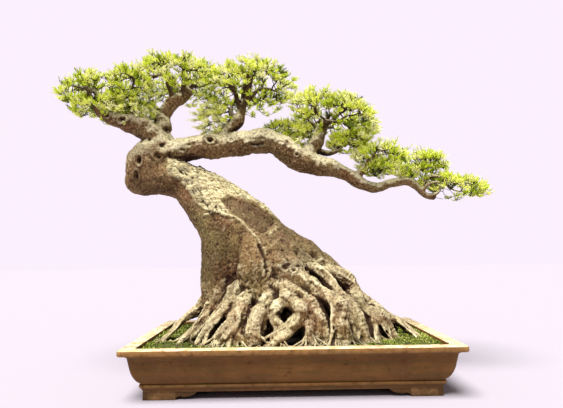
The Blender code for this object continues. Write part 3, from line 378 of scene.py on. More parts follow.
def smooth_path(points, steps):
    """A Catmull-Rom curve through points, each (place, radius), as a longer list of the same."""
    fine = []
    last = len(points) - 1
    for i in range(last):
        a, b, c, d = (points[min(max(k, 0), last)] for k in (i - 1, i, i + 1, i + 2))
        for step in range(steps):
            t = step / steps
            weights = (-t + 2 * t**2 - t**3, 2 - 5 * t**2 + 3 * t**3, t + 4 * t**2 - 3 * t**3, t**3 - t**2)
            place = sum((w * np.array(p[0]) for w, p in zip(weights, (a, b, c, d)))) / 2
            fine.append((place, b[1] + (c[1] - b[1]) * t))
    fine.append((np.array(points[last][0]), points[last][1]))
    return fine


# ---------------------------------------------------------------- mesh helpers
def wrap(rings, sides):
    """Outward triangles over stacked rings of places, closed by two middle places listed after them."""
    j = np.arange(sides)
    n = (j + 1) % sides
    faces = []
    for i in range(rings - 1):
        a, b = i * sides + j, i * sides + n
        faces += [np.stack([a, b, b + sides], 1), np.stack([a, b + sides, a + sides], 1)]
    first, last = rings * sides, (rings - 1) * sides
    faces += [np.stack([np.full(sides, first), n, j], 1),
              np.stack([np.full(sides, first + 1), last + j, last + n], 1)]
    return np.concatenate(faces)


def tube(points, sides):
    """Places and outward triangles of a tapered tube along (place, radius) points, closed at both ends."""
    places = np.array([place for place, _ in points], float)
    radii = np.array([radius for _, radius in points])
    along = unit(np.gradient(places, axis=0))
    reference = np.eye(3)[np.argmin(np.abs(along.mean(axis=0)))]
    side = unit(np.cross(along, reference))
    other = np.cross(along, side)
    angles = 2 * np.pi * np.arange(sides) / sides
    ring = np.cos(angles)[None, :, None] * side[:, None] + np.sin(angles)[None, :, None] * other[:, None]
    skin = places[:, None] + radii[:, None, None] * ring
    return np.concatenate([skin.reshape(-1, 3), places[[0, -1]]]), wrap(len(points), sides)


def join(parts):
    """One (places, faces) from many."""
    vertices, faces, start = [], [], 0
    for places, corners in parts:
        vertices.append(places)
        faces.append(corners + start)
        start += len(places)
    return np.concatenate(vertices), np.concatenate(faces)


def new_mesh(name, places, faces):
    """A mesh from arrays; its faces all have the same number of corners."""
    mesh = bpy.data.meshes.new(name)
    mesh.vertices.add(len(places))
    mesh.vertices.foreach_set("co", np.ascontiguousarray(places, np.float32).ravel())
    sides = faces.shape[1]
    mesh.loops.add(faces.size)
    mesh.loops.foreach_set("vertex_index", np.ascontiguousarray(faces, np.int32).ravel())
    mesh.polygons.add(len(faces))
    mesh.polygons.foreach_set("loop_start", np.arange(0, faces.size, sides, dtype=np.int32))
    mesh.update(calc_edges=True)
    return mesh


def linked(name, data):
    """A new object in the scene."""
    made = bpy.data.objects.new(name, data)
    bpy.context.scene.collection.objects.link(made)
    return made


def paint(mesh, layers):
    """Writes layers of values, one for each vertex, as attributes that the materials read."""
    for name, values in layers.items():
        mesh.attributes.new(name, "FLOAT", "POINT").data.foreach_set("value", values.astype(np.float32))


def new_piece(name, mesh, materials, replaced, smooth=True):
    """Adds a finished piece to the part in place of CAD nodes."""
    made = linked(name, mesh)
    for material in materials:
        mesh.materials.append(material)
    mesh.polygons.foreach_set("use_smooth", np.full(len(mesh.polygons), smooth))
    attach(made, "root")
    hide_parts(*replaced)


def read_mesh(mesh):
    """The places, edges and four-cornered faces of a mesh."""
    places = np.empty(len(mesh.vertices) * 3, np.float32)
    mesh.vertices.foreach_get("co", places)
    edges = np.empty(len(mesh.edges) * 2, np.int32)
    mesh.edges.foreach_get("vertices", edges)
    faces = np.empty(len(mesh.loops), np.int32)
    mesh.loops.foreach_get("vertex_index", faces)
    return places.reshape(-1, 3).astype(float), edges.reshape(-1, 2), faces.reshape(-1, 4)


def relax(values, edges, times):
    """Each vertex's values replaced, over and over, by the mean of its neighbours'."""
    count = len(values)
    near = np.maximum(np.bincount(edges.ravel(), minlength=count), 1)
    for _ in range(times):
        values = np.stack([(np.bincount(edges[:, 0], column[edges[:, 1]], count)
                            + np.bincount(edges[:, 1], column[edges[:, 0]], count)) / near
                           for column in values.T], 1)
    return values


def normals_of(places, faces):
    """The normal at each vertex of four-cornered faces."""
    flat = np.cross(places[faces[:, 2]] - places[faces[:, 0]], places[faces[:, 3]] - places[faces[:, 1]])
    return unit(np.stack([np.bincount(faces.ravel(), np.repeat(column, 4), len(places))
                          for column in flat.T], 1))


# ---------------------------------------------------------------- materials
def linear(red, green, blue):
    """A colour from 0 to 255 as a screen shows it, as the shader's own colour."""
    return tuple(v / 255 / 12.92 if v <= 10 else ((v / 255 + 0.055) / 1.055) ** 2.4
                 for v in (red, green, blue)) + (1.0,)


class Shader:
    """A material's node tree, with the Principled shader at hand."""

    def __init__(self, name, colour=(0.5, 0.5, 0.5, 1.0), roughness=0.8, gloss=0.5):
        self.material = bpy.data.materials.new(name)
        self.material.use_nodes = True
        self.tree = self.material.node_tree
        self.shader = self.tree.nodes["Principled BSDF"]
        self.feed_all(self.shader, {"Base Color": colour, "Roughness": roughness,
                                    "Specular IOR Level": gloss})
        self.places = self.add("ShaderNodeTexCoord").outputs["Object"]

    def add(self, kind, **settings):
        node = self.tree.nodes.new(kind)
        for key, value in settings.items():
            setattr(node, key, value)
        return node

    def feed(self, socket, value):
        """Links a socket into another, or sets its constant."""
        if isinstance(value, bpy.types.NodeSocket):
            self.tree.links.new(value, socket)
        else:
            socket.default_value = value

    def feed_all(self, node, values):
        for name, value in values.items():
            self.feed(node.inputs[name], value)

    def noise(self, scale, detail, roughness=0.5, stretch=None):
        node = self.add("ShaderNodeTexNoise")
        place = self.places
        if stretch:
            mapping = self.add("ShaderNodeMapping")
            self.feed_all(mapping, {"Scale": stretch, "Vector": place})
            place = mapping.outputs["Vector"]
        self.feed_all(node, {"Scale": scale, "Detail": detail, "Roughness": roughness, "Vector": place})
        return node.outputs["Fac"]

    def attribute(self, name):
        return self.add("ShaderNodeAttribute", attribute_name=name).outputs["Fac"]

    def geometry(self, name):
        return self.add("ShaderNodeNewGeometry").outputs[name]

    def upward(self, vector):
        """The height, or upward share, of a vector."""
        split = self.add("ShaderNodeSeparateXYZ")
        self.feed(split.inputs[0], vector)
        return split.outputs["Z"]

    def map(self, value, low, high, to_low=0.0, to_high=1.0):
        """The value from low to high, stretched over to_low to to_high and held at both ends."""
        node = self.add("ShaderNodeMapRange")
        self.feed_all(node, dict(enumerate((value, low, high, to_low, to_high))))
        return node.outputs[0]

    def times(self, first, second):
        node = self.add("ShaderNodeMath", operation="MULTIPLY", use_clamp=True)
        self.feed_all(node, {0: first, 1: second})
        return node.outputs[0]

    def mix(self, share, first, second):
        """Two colours mixed; a colour is a socket, or red, green and blue from 0 to 255."""
        node = self.add("ShaderNodeMix", data_type="RGBA")
        first, second = (linear(*value) if isinstance(value, tuple) else value for value in (first, second))
        self.feed_all(node, {"Factor": share, "A": first, "B": second})
        return node.outputs["Result"]

    def coats(self, under, *layers):
        """Coats of colour over one another, each (share, colour)."""
        for share, colour in layers:
            under = self.mix(share, under, colour)
        return under

    def finish(self, colour, roughness, *bumps):
        """Wires up the surface; each bump is (height, distance in metres, strength)."""
        normal = None
        for height, distance, strength in bumps:
            node = self.add("ShaderNodeBump")
            self.feed_all(node, {"Distance": distance, "Strength": strength, "Height": height})
            if normal:
                self.feed(node.inputs["Normal"], normal)
            normal = node.outputs["Normal"]
        self.feed_all(self.shader, {"Base Color": colour, "Roughness": roughness, "Normal": normal})
        return self.material


def plain(name, shade, roughness, gloss=0.5):
    """A material of one colour, given as red, green and blue from 0 to 255."""
    return Shader(name, linear(*shade), roughness, gloss).material


def bark_material():
    """Tan bark with dark grain, and the layers painted over it: wear with painted highlight, pale bleached
    wood, and darkening that is partly stains and holes and partly painted shade.
    """
    made = Shader("bark", gloss=0.25)
    blotch, grain, speckle = made.noise(16, 5), made.noise(170, 6, 0.68), made.noise(420, 3, 0.6)
    fibre = made.noise(95, 6, 0.7, (0.5, 1.0, 2.0))
    # The wear layer read here carries painted highlight as well, and the darkening layer read below carries
    # painted shade as well.
    wear_and_highlight = made.times(made.map(made.attribute("wear_and_highlight"), 0.05, 0.75), made.map(grain, 0.34, 0.52, 0.15, 1.0))
    bark = made.coats(
        made.mix(made.map(blotch, 0.38, 0.62), (104, 76, 44), (146, 117, 76)),
        (made.map(made.noise(8, 3), 0.46, 0.72, 0.0, 0.7), (112, 106, 60)),
        (made.map(made.noise(13, 4), 0.52, 0.66, 0.0, 0.6), (134, 92, 62)),
        (made.map(grain, 0.50, 0.36), (50, 31, 12)),
        (made.map(grain, 0.54, 0.70), (188, 162, 120)),
        (made.map(speckle, 0.58, 0.68), (46, 30, 12)),
        (wear_and_highlight, (242, 231, 190)),
        (made.attribute("pale"), made.mix(made.map(fibre, 0.38, 0.58), (150, 130, 84), (240, 230, 184))),
        (made.attribute("dirt_and_shade"), made.mix(made.map(grain, 0.3, 0.7), (22, 11, 3), (64, 36, 14))))
    return made.finish(bark, made.map(grain, 0.3, 0.7, 0.95, 0.72),
                       (grain, 0.0030, 0.9), (speckle, 0.0009, 0.8))


def twig_material():
    made = Shader("twig", gloss=0.2)
    grain = made.noise(240, 5, 0.6)
    return made.finish(made.mix(made.map(grain, 0.35, 0.65), (24, 15, 6), (74, 52, 28)),
                       made.map(grain, 0.3, 0.7, 0.95, 0.8), (grain, 0.0008, 0.6))


def leaf_materials():
    return [plain("leaf_" + str(index), shade, 0.55, 0.3) for index, shade in enumerate(LEAF_SHADED_TO_LIT)]


def clay_material():
    """Brown clay, rubbed pale on its edges, with the top of its rim pale as rubbed clay and as a painted
    highlight, and dark towards the foot.
    """
    made = Shader("clay", gloss=0.35)
    blotch, grain, grit = made.noise(11, 6, 0.6), made.noise(70, 6, 0.65), made.noise(520, 2, 0.5)
    streak = made.noise(20, 5, 0.6, (0.5, 0.5, 5.0))
    height, up = made.upward(made.places), made.upward(made.geometry("Normal"))
    edge = made.times(made.map(made.geometry("Pointiness"), 0.515, 0.57), made.map(grain, 0.3, 0.6))
    foot = made.times(made.map(height, 0.036, 0.0), made.map(streak, 0.3, 0.7, 0.5, 1.0))
    # The rim's top: pale clay laid on up-facing faces at the rim's height, partly rubbed clay and partly a
    # painted highlight.
    rim = made.mix(made.map(made.noise(38, 6, 0.65), 0.38, 0.62), (196, 168, 122), (246, 228, 190))
    rim = made.mix(made.map(made.noise(60, 4), 0.58, 0.72), rim, (150, 120, 84))
    clay = made.coats(
        made.mix(made.map(blotch, 0.35, 0.65), (97, 60, 17), (121, 80, 28)),
        (made.map(streak, 0.45, 0.70), (88, 64, 18)),
        (made.map(grain, 0.60, 0.76, 0.0, 0.5), (140, 98, 50)),
        (made.map(grain, 0.40, 0.28), (66, 39, 13)),
        (edge, (168, 124, 74)),
        (foot, (44, 29, 12)),
        (made.times(made.map(up, 0.45, 0.9), made.map(height, 0.108, 0.117)), rim))
    return made.finish(clay, made.map(grain, 0.3, 0.7, 0.82, 0.62),
                       (blotch, 0.0015, 0.4), (grain, 0.0006, 0.6), (grit, 0.0003, 0.5))


def moss_materials():
    """The ground's material, and one for each shade of blade."""
    made = Shader("moss_ground")
    grain = made.noise(160, 6, 0.7)
    # Bare soil under the roots: brown soil, painted darker still for the shade that falls under the roots.
    soil = made.mix(made.map(grain, 0.4, 0.6), (24, 15, 6), (52, 36, 18))
    moss = made.coats(
        made.mix(made.map(made.noise(26, 4), 0.4, 0.6), (58, 62, 14), (84, 92, 24)),
        (made.map(grain, 0.5, 0.32), (36, 34, 10)),
        (made.attribute("bare"), soil))
    ground = made.finish(moss, made.map(grain, 0.3, 0.7, 1.0, 0.85), (grain, 0.003, 0.9))
    return [ground] + [plain("moss_" + str(index), shade, 0.8) for index, shade in enumerate(MOSS_SHADES)]


# ---------------------------------------------------------------- the wood
def bole_at(height):
    """The middle, half width and half depth of the bole's core at a height."""
    for low, high in zip(BOLE, BOLE[1:]):
        if height <= high[0]:
            share = (height - low[0]) / (high[0] - low[0])
            left, right, depth = (a + (b - a) * share for a, b in zip(low[1:], high[1:]))
            break
    return (left + right) / 2, (right - left) / 2, depth


def bole():
    """Places and outward triangles of the bole's core."""
    angles = 2 * np.pi * np.arange(BOLE_SIDES) / BOLE_SIDES
    rings = [np.stack([(left + right) / 2 + (right - left) / 2 * np.cos(angles), depth * np.sin(angles),
                       np.full(BOLE_SIDES, height)], 1) for height, left, right, depth in BOLE]
    return (np.concatenate(rings + [[rings[0].mean(0)], [rings[-1].mean(0)]]),
            wrap(len(BOLE), BOLE_SIDES))


def seeded_roots():
    """The seeded surface roots, by the source's rule, without those that FRONT_ROOTS replace."""
    rng = random.Random(ROOT_SEED)
    paths = []
    for index in range(ROOT_COUNT):
        angle = 2 * math.pi * (index + rng.uniform(-1, 1) * ROOT_ANGLE_SCATTER) / ROOT_COUNT
        out = (math.cos(angle), math.sin(angle))
        top = ROOT_START_HEIGHT + rng.uniform(-1, 1) * ROOT_START_SPREAD
        centre_x, half_x, half_y = bole_at(top)
        start = (centre_x + ROOT_START_SHARE * half_x * out[0], ROOT_START_SHARE * half_y * out[1])
        reach = rng.uniform(ROOT_SHORTEST, 1.0)
        end = [c + r * o * reach for c, r, o in zip(ROOT_CENTRE, ROOT_REACH, out)]
        bottom = GROUND - ROOT_END_DEPTH
        phase = rng.uniform(0, 2 * math.pi)
        radius = ROOT_RADIUS * rng.uniform(0.75, 1.2)
        path = []
        for k in range(ROOT_POINTS):
            t = k / (ROOT_POINTS - 1)
            sway = ROOT_SWAY * math.sin(phase + 5.0 * t) * math.sin(math.pi * t)
            x = start[0] + (end[0] - start[0]) * t - out[1] * sway
            y = start[1] + (end[1] - start[1]) * t + out[0] * sway
            z = bottom + (top - bottom) * (1 - t) ** ROOT_FLARE
            path.append(((x, y, z), radius + (ROOT_TIP_RADIUS - radius) * t))
        if out[1] > FRONT_SHARE:
            paths.append(path)
    return paths


def outward(place):
    """The level direction away from the middle of the roots."""
    return unit(np.array([place[0] - ROOT_MIDDLE, place[1] * ROOT_ROUNDING, 0.0]))


def across(way):
    """The level direction to the left of a level one."""
    return np.array([-way[1], way[0], 0.0])


def slim_roots(roots, rng):
    """Slim roots that leave the thick ones on their way down and cross over them to the ground."""
    paths = []
    for root in roots:
        whole = smooth_path(root, 4)
        for _ in range(SLIM_ROOTS):
            rest = whole[int(len(whole) * rng.uniform(*SLIM_START)):]
            lean, phase = rng.choice((-1, 1)) * rng.uniform(*SLIM_LEAN), rng.uniform(0, TURN)
            thick = rng.uniform(*SLIM_RADIUS)
            points = []
            for k, (place, radius) in enumerate(rest):
                t = k / max(1, len(rest) - 1)
                out = outward(place)
                shift = lean * t + SLIM_WAVE * math.sin(phase + 8 * t)
                over = max(0.0, radius - abs(shift) * 0.5)  # stands clear of the thick root as it crosses
                points.append((np.array(place) + across(out) * shift + out * over * 0.8
                               + [0, 0, over * 0.5 * (1 - t)], thick * (1 - SLIM_TAPER * t)))
            paths.append(points[::2])
    return paths


def rootlets(roots, rng):
    """Thin roots that fan out from the feet of the thick ones and creep over the ground into it."""
    paths, low = [], GROUND - ROOTLET_DEPTH
    for root in roots:
        feet = [point for point in smooth_path(root, 4) if point[0][2] < GROUND + ROOTLET_BAND] or [root[-1]]
        for _ in range(ROOTLETS):
            place, radius = feet[int(len(feet) * rng.uniform(0.0, 0.9))]
            out = outward(place)
            turn = rng.uniform(-ROOTLET_FAN, ROOTLET_FAN)
            out = np.array([out[0] * math.cos(turn) - out[1] * math.sin(turn),
                            out[0] * math.sin(turn) + out[1] * math.cos(turn), 0.0])
            side = across(out)
            length = rng.uniform(*ROOTLET_LENGTH) + 0.8 * max(place[2] - GROUND, 0)
            thick = rng.uniform(*ROOTLET_RADIUS)
            phase, points = rng.uniform(0, TURN), []
            start = np.array(place) + side * math.copysign(radius * 0.6, turn)
            for k in range(ROOTLET_POINTS):
                t = k / (ROOTLET_POINTS - 1)
                sway = ROOTLET_SWAY * math.sin(phase + 9 * t) * t
                point = start + out * length * t + side * sway
                point[2] = (low + (start[2] - low) * (1 - t) ** 2.2
                            + ROOTLET_HUMP * math.sin(math.pi * t) * rng.random())
                for axis, (least, most) in enumerate(ROOTLET_ROOM):
                    point[axis] = min(max(point[axis], least), most)
                points.append((point, thick * (1 - ROOTLET_TAPER * t)))
            paths.append(points)
    return paths


def knobbly(points, share, bend):
    """The path with its radius swelling and narrowing at random, and its middle line shifted."""
    places = np.array([place for place, _ in points])
    swell = 2 * noise(places * 42, 15) - 1
    shift = np.stack([2 * noise(places * 30, 16 + k) - 1 for k in range(3)], 1)
    return [(place + bend * radius * off, radius * (1 + share * s))
            for place, (_, radius), s, off in zip(places, points, swell, shift)]


def bough_points(bough):
    """The points of the bough that bears a mass."""
    return TIP_BOUGH if bough == "bough_tip" else SIDE_BOUGHS[bough]


def grow_forks():
    """Crooked forks that rise from the outer part of each side bough into its mass of leaves."""
    made = {}
    for index, (name, (bough, centre, half, _)) in enumerate(MASSES.items()):
        rng = random.Random(FORK_SEED + index)
        along = smooth_path(bough_points(bough), 4)
        count = max(2, round(FORKS_PER_MASS * half[0] / FULL_HALF))
        turn, forks = rng.uniform(0, TURN), []
        for k in range(count):
            start, radius = along[int((len(along) - 1) * (0.45 + 0.55 * (k + 1) / count))]
            angle = turn + k * GOLDEN_ANGLE
            far = rng.uniform(*FORK_REACH)
            end = np.array(centre) + np.array(half) * (far * math.cos(angle), far * math.sin(angle),
                                                       rng.uniform(*FORK_RISE))
            length = float(np.linalg.norm(end - start))
            radius = min(FORK_SHARE * radius, FORK_THICKEST)
            points = []
            for step in range(FORK_STEPS + 1):
                t = step / FORK_STEPS
                wander = np.array([rng.uniform(-1, 1) for _ in range(3)]) * FORK_WANDER * length
                wander *= 0 < step < FORK_STEPS
                lift = np.array([0, 0, FORK_LIFT * length * math.sin(math.pi * t)])
                points.append((start + (end - start) * t + wander + lift, radius + (FORK_TIP - radius) * t))
            forks.append(smooth_path(points, 3))
        made[name] = forks
    return made


def wood_skeleton(forks):
    """Every strand of wood: (kind, points)."""
    roots = seeded_roots()
    strands = [(BODY, smooth_path(points, 5)) for points in STRANDS.values()]
    strands += [(ROOT, knobbly(smooth_path(points, 5), *ROOT_KNOBS)) for points in FRONT_ROOTS]
    strands += [(ROOT, knobbly(smooth_path(points, 3), *ROOT_KNOBS)) for points in roots]
    strands += [(ROOT, points) for points in slim_roots(FRONT_ROOTS + roots, random.Random(SLIM_SEED))]
    strands.append((BOUGH, knobbly(smooth_path(LIMB, 5), *LIMB_KNOBS)))
    strands += [(BOUGH, knobbly(smooth_path(points, 7), *BOUGH_KNOBS)) for points in SIDE_BOUGHS.values()]
    strands += [(BOUGH, knobbly(points, *FORK_KNOBS)) for several in forks.values() for points in several]
    return strands


# ---------------------------------------------------------------- the bark
def remesh(places, faces):
    """A single closed skin over overlapping tubes, as even small faces."""
    lump = linked("lump", new_mesh("lump", places, faces))
    skin = lump.modifiers.new("skin", "REMESH")
    skin.mode = "VOXEL"
    skin.voxel_size = BARK_VOXEL
    graph = bpy.context.evaluated_depsgraph_get()
    mesh = bpy.data.meshes.new_from_object(lump.evaluated_get(graph))
    bpy.data.objects.remove(lump)
    return read_mesh(mesh)


def flow(places, strands):
    """For each place: its nearest strand's kind, index and radius, how far along it, and the offset."""
    centres, radii, runs, ways, owners = [], [], [], [], []
    for index, (_, points) in enumerate(strands):
        line = np.array([place for place, _ in points])
        steps = np.linalg.norm(np.diff(line, axis=0), axis=1)
        centres.append(line)
        radii.append([radius for _, radius in points])
        runs.append(np.concatenate([[0], np.cumsum(steps)]))
        ways.append(unit(np.gradient(line, axis=0)))
        owners.append(np.full(len(line), index))
    centres, radii, runs, ways, owners = map(np.concatenate, (centres, radii, runs, ways, owners))
    tree = KDTree(len(centres))
    for index, centre in enumerate(centres):
        tree.insert(centre, index)
    tree.balance()
    best = np.empty(len(places), int)
    for i, place in enumerate(places):
        best[i] = min(tree.find_n(place, 5), key=lambda found: found[2] - radii[found[1]])[1]
    offset = places - centres[best]
    step = (offset * ways[best]).sum(1)
    offset -= ways[best] * step[:, None]
    strand = owners[best]
    kind = np.array([kind for kind, _ in strands])[strand]
    return kind, strand, radii[best], runs[best] + step, offset


def on_surface(places, x, z, side):
    """The place on the front (side -1) or back (side 1) of the bark at x, z."""
    near = np.hypot(places[:, 0] - x, places[:, 2] - z)
    close = np.flatnonzero(near < max(0.006, near.min() + 0.003))
    return places[close[np.argmax(places[close, 1] * side)]]


def spaced(points, step):
    """Points filled in along straight runs, no further apart than step."""
    filled = [points[0]]
    for a, b in zip(points, points[1:]):
        count = max(1, math.ceil(math.dist(a[:2], b[:2]) / step))
        filled += [tuple(p + (q - p) * k / count for p, q in zip(a, b)) for k in range(1, count + 1)]
    return filled


def inside(places, outline):
    """How far within an outline in x and z each place lies, and below 0 outside it."""
    x, z = places[:, 0], places[:, 2]
    near, within = np.full(len(places), np.inf), np.zeros(len(places), bool)
    for (ax, az), (bx, bz) in zip(outline, outline[1:] + outline[:1]):
        share = ((x - ax) * (bx - ax) + (z - az) * (bz - az)) / ((bx - ax) ** 2 + (bz - az) ** 2)
        share = np.clip(share, 0, 1)
        near = np.minimum(near, np.hypot(x - ax - share * (bx - ax), z - az - share * (bz - az)))
        crosses = (az > z) != (bz > z)
        within ^= crosses & (x < ax + (z - az) / (bz - az if bz != az else 1) * (bx - ax))
    return np.where(within, near, -near)


def shelter(places, normals, faces):
    """How much of the sky near each vertex is blocked, 0 to 1."""
    tree = BVHTree.FromPolygons(places.tolist(), faces.tolist())
    side = unit(np.cross(normals, np.where(np.abs(normals[:, 2:]) < 0.8, [[0, 0, 1.0]], [[1.0, 0, 0]])))
    other = np.cross(normals, side)
    starts = (places + normals * SHELTER_LIFT).tolist()
    blocked = np.zeros(len(places))
    for k in range(SHELTER_RAYS):
        share = (k + 0.5) / SHELTER_RAYS
        tilt, angle = math.sqrt(share), k * GOLDEN_ANGLE
        ways = (side * (tilt * math.cos(angle)) + other * (tilt * math.sin(angle))
                + normals * math.sqrt(1 - share))
        for i, (start, way) in enumerate(zip(starts, ways.tolist())):
            if tree.ray_cast(start, way, SHELTER_REACH)[0] is not None:
                blocked[i] += 1
    return blocked / SHELTER_RAYS


def at_least(layer, values):
    """Raises a layer of paint to these values wherever it is lower."""
    np.maximum(layer, values, out=layer)


def wood_relief(places, edges, strand, radius, run, offset, root, limb):
    """The height of swellings, long grain, grit and cross wrinkles, quiet where two strands meet."""
    size = np.clip(radius / FULL_RADIUS, 0.15, 1.0)
    border = np.zeros(len(places))
    border[edges[strand[edges[:, 0]] != strand[edges[:, 1]]].ravel()] = 1
    calm = 1 - np.clip(1.6 * relax(border[:, None], edges, 5)[:, 0], 0, 1) * (1 - 0.7 * root)
    height = SWELLS * size * layered(places * 19, 3, 3)
    grain = offset * 80 + np.stack([run * 16, strand * 3.7, -run * 12], 1)
    depth = (GRAIN + ROOT_GRAIN * root + LIMB_GRAIN * limb) * np.sqrt(size)
    height += depth * (ridged(grain, 3, 11) - CREST) * calm
    height += GRIT * np.sqrt(size) * layered(places * 95, 3, 21)
    height += (ROOT_LUMPS * root + LIMB_LUMPS * limb) * layered(places * 44, 2, 25)
    rings = np.stack([run * 125, strand * 5.1 + offset[:, 0] * 16, offset[:, 2] * 16], 1)
    wrinkles = (ROOT_WRINKLES * root + LIMB_WRINKLES * limb) * np.clip(size * 1.6, 0, 1)
    return height + wrinkles * (ridged(rings, 2, 31) - CREST) * calm


def add_bare_wood(places, limb, height, pale, dark):
    """Bleached, splintered wood, and the ruddy hollow beside it, added to the arrays given."""
    ragged_edge = 0.007 * layered(places * 55, 3, 43)
    bleach = ramp(inside(places, BARE_WOOD) + ragged_edge, -0.003, 0.003) * (1 - limb)
    ruddy = ramp(inside(places, RUDDY_WOOD) + ragged_edge * 0.5, -0.002, 0.006) * (1 - limb)
    fibres = np.stack([(places[:, 0] * 0.8 + places[:, 2] * 0.6) * 150,
                       (places[:, 2] * 0.8 - places[:, 0] * 0.6) * 55, places[:, 1] * 120], 1)
    ragged = ridged(fibres, 3, 41)
    splinters = layered(fibres * 1.7, 3, 45)
    height += bleach * (FIBRES * (ragged - 0.55) + SPLINTERS * splinters) - ruddy * RUDDY_DEPTH
    at_least(pale, bleach * ramp(splinters, -0.75, -0.15))
    at_least(dark, bleach * np.maximum(ramp(ragged, 0.50, 0.34) * 0.8, ramp(splinters, -0.25, -0.6) * 0.85))
    at_least(dark, ruddy * (0.30 + 0.35 * noise(places * 60, 47)))


def add_marks(places, height, pale, dark):
    """Knots, holes and healed scars, each a hollow inside a raised rim, with a dark ring beyond it."""
    for side, marks in MARKS.items():
        for *measures, shade in marks:
            x, z, wide, tall, depth, rim = mm(*measures)
            away = places - on_surface(places, x, z, side)
            far = np.sqrt((away[:, 0] / wide) ** 2 + (away[:, 1] / max(wide, tall)) ** 2
                          + (away[:, 2] / tall) ** 2)
            far = far * (1 + 0.30 * layered(places * 70, 3, 51))
            height += np.where(far < 3, rim * bell((far - 1) / 0.28) - depth * bell(far / 0.62, 4), 0)
            # The dark inside each hollow is partly the knot's own dark wood and partly painted shade.
            at_least(dark, shade * bell(far / 0.70, 4))
            at_least(dark, 0.8 * bell((far - 1.4) / 0.2) * (0.4 + 0.6 * shade))
            at_least(pale, (rim * RIM_PALENESS * bell((far - 1) / 0.2)
                            * ramp(noise(places * 60, 53), 0.3, 0.6)))


def add_seams(places, height, pale, dark):
    """Lips that stand up from the bark, and clefts that are cut into it."""
    for points, side, rise, width, light, shade in SEAMS:
        rise, width = mm(rise, width)
        near = np.full(len(places), 1.0)
        for x, z in spaced([mm(*point) for point in points], SEAM_STEP):
            near = np.minimum(near, np.linalg.norm(places - on_surface(places, x, z, side), axis=1))
        near = near * (1.1 + 0.6 * layered(places * 60, 3, 61))
        height += rise * bell(near / width)
        at_least(pale, light * bell(near / width / 0.9) * ramp(noise(places * 80, 63), 0.15, 0.6))
        # Darkness along a seam is painted shade in its cleft.
        at_least(dark, shade * bell(near / width))


def shape_bark(places, faces, edges, strands):
    """Raises the bark's relief, and returns the places, paint for each vertex, and its kind."""
    places = relax(places, edges, 2)
    normals = normals_of(places, faces)
    kind, strand, radius, run, offset = flow(places, strands)
    root, limb = relax(np.stack([kind == ROOT, kind == BOUGH], 1).astype(float), edges, 8).T
    height = wood_relief(places, edges, strand, radius, run, offset, root, limb)
    pale, dark = np.zeros((2, len(places)))
    add_bare_wood(places, limb, height, pale, dark)
    at_least(dark, 0.6 * limb * ramp(radius, 0.020, 0.008) * ramp(places[:, 2], *CROWN_SHADE))
    mottle = 0.5 + layered(places * 45, 3, 49)
    for *measures, shade in STAINS:
        x, z, wide, tall = mm(*measures)
        far = np.hypot((places[:, 0] - x) / wide, (places[:, 2] - z) / tall)
        at_least(dark, shade * ramp(far, 1.3, 0.5) * np.clip(0.6 + 0.5 * mottle, 0, 1))
    add_marks(places, height, pale, dark)
    add_seams(places, height, pale, dark)

    places = places + normals * height[:, None]
    places[:, 2] = np.maximum(places[:, 2], GROUND - BARK_BURIED)
    normals = normals_of(places, faces)
    # How deep each vertex lies in a narrow or a broad hollow, below 0 on a crest, and how little sky it sees.
    fine = ((relax(places, edges, 2) - places) * normals).sum(1)
    broad = ((relax(places, edges, 16) - places) * normals).sum(1)
    hidden = shelter(places, normals, faces)
    # Painted shade: darker in narrow and broad hollows, where little sky is seen and on faces that look down,
    # joined with the real darkness of stains, scars and holes.
    dirt_and_shade = (ramp(fine, 0.0001, 0.0009) * 0.65 + ramp(broad, 0.0004, 0.0032) * 0.85
            + ramp(hidden, 0.18, 0.60) * 1.3)
    dirt_and_shade = np.clip(np.maximum(dirt_and_shade, dark) + 0.15 * ramp(-normals[:, 2], 0.1, 0.8), 0, 1)
    head = ramp(places[:, 0], *HEAD_EDGE) * (1 - limb)
    low = ramp(places[:, 2] + 0.05 * layered(places * 24, 3, 73), *FOOT_OF_BOLE) * (1 - root)
    # Wear and painted highlight: paler on crests and on up-facing faces, most on the limbs and head, partly
    # weathered wood and partly painted light from above, and held back where little sky is seen, a painted
    # shade; the bole's foot pales too.
    wear_and_highlight = ramp(-broad, 0.0002, 0.0034) * 0.46 * (0.25 + 0.75 * root) * (0.55 + 0.45 * mottle) + 0.22 * low
    wear_and_highlight += (ramp(normals[:, 2] + 0.45 * layered(places * 50, 3, 71), -0.15, 0.55)
             * (0.10 + 0.14 * root + 0.28 * head + 0.80 * limb))
    wear_and_highlight *= 1 - ramp(hidden, 0.2, 0.7)
    # Bleached wood painted duller where little sky is seen: a painted shade.
    pale = np.clip(pale, 0, 1) * (1 - 0.6 * ramp(hidden, 0.5, 1.0))
    return places, {"pale": pale, "dirt_and_shade": dirt_and_shade, "wear_and_highlight": np.clip(wear_and_highlight, 0, 1)}, kind


def part_mesh(name, places, faces, layers):
    """Faces as a mesh with their own vertices and painted values."""
    used, corners = np.unique(faces, return_inverse=True)
    mesh = new_mesh(name, places[used], corners.reshape(faces.shape))
    paint(mesh, {key: values[used] for key, values in layers.items()})
    return mesh


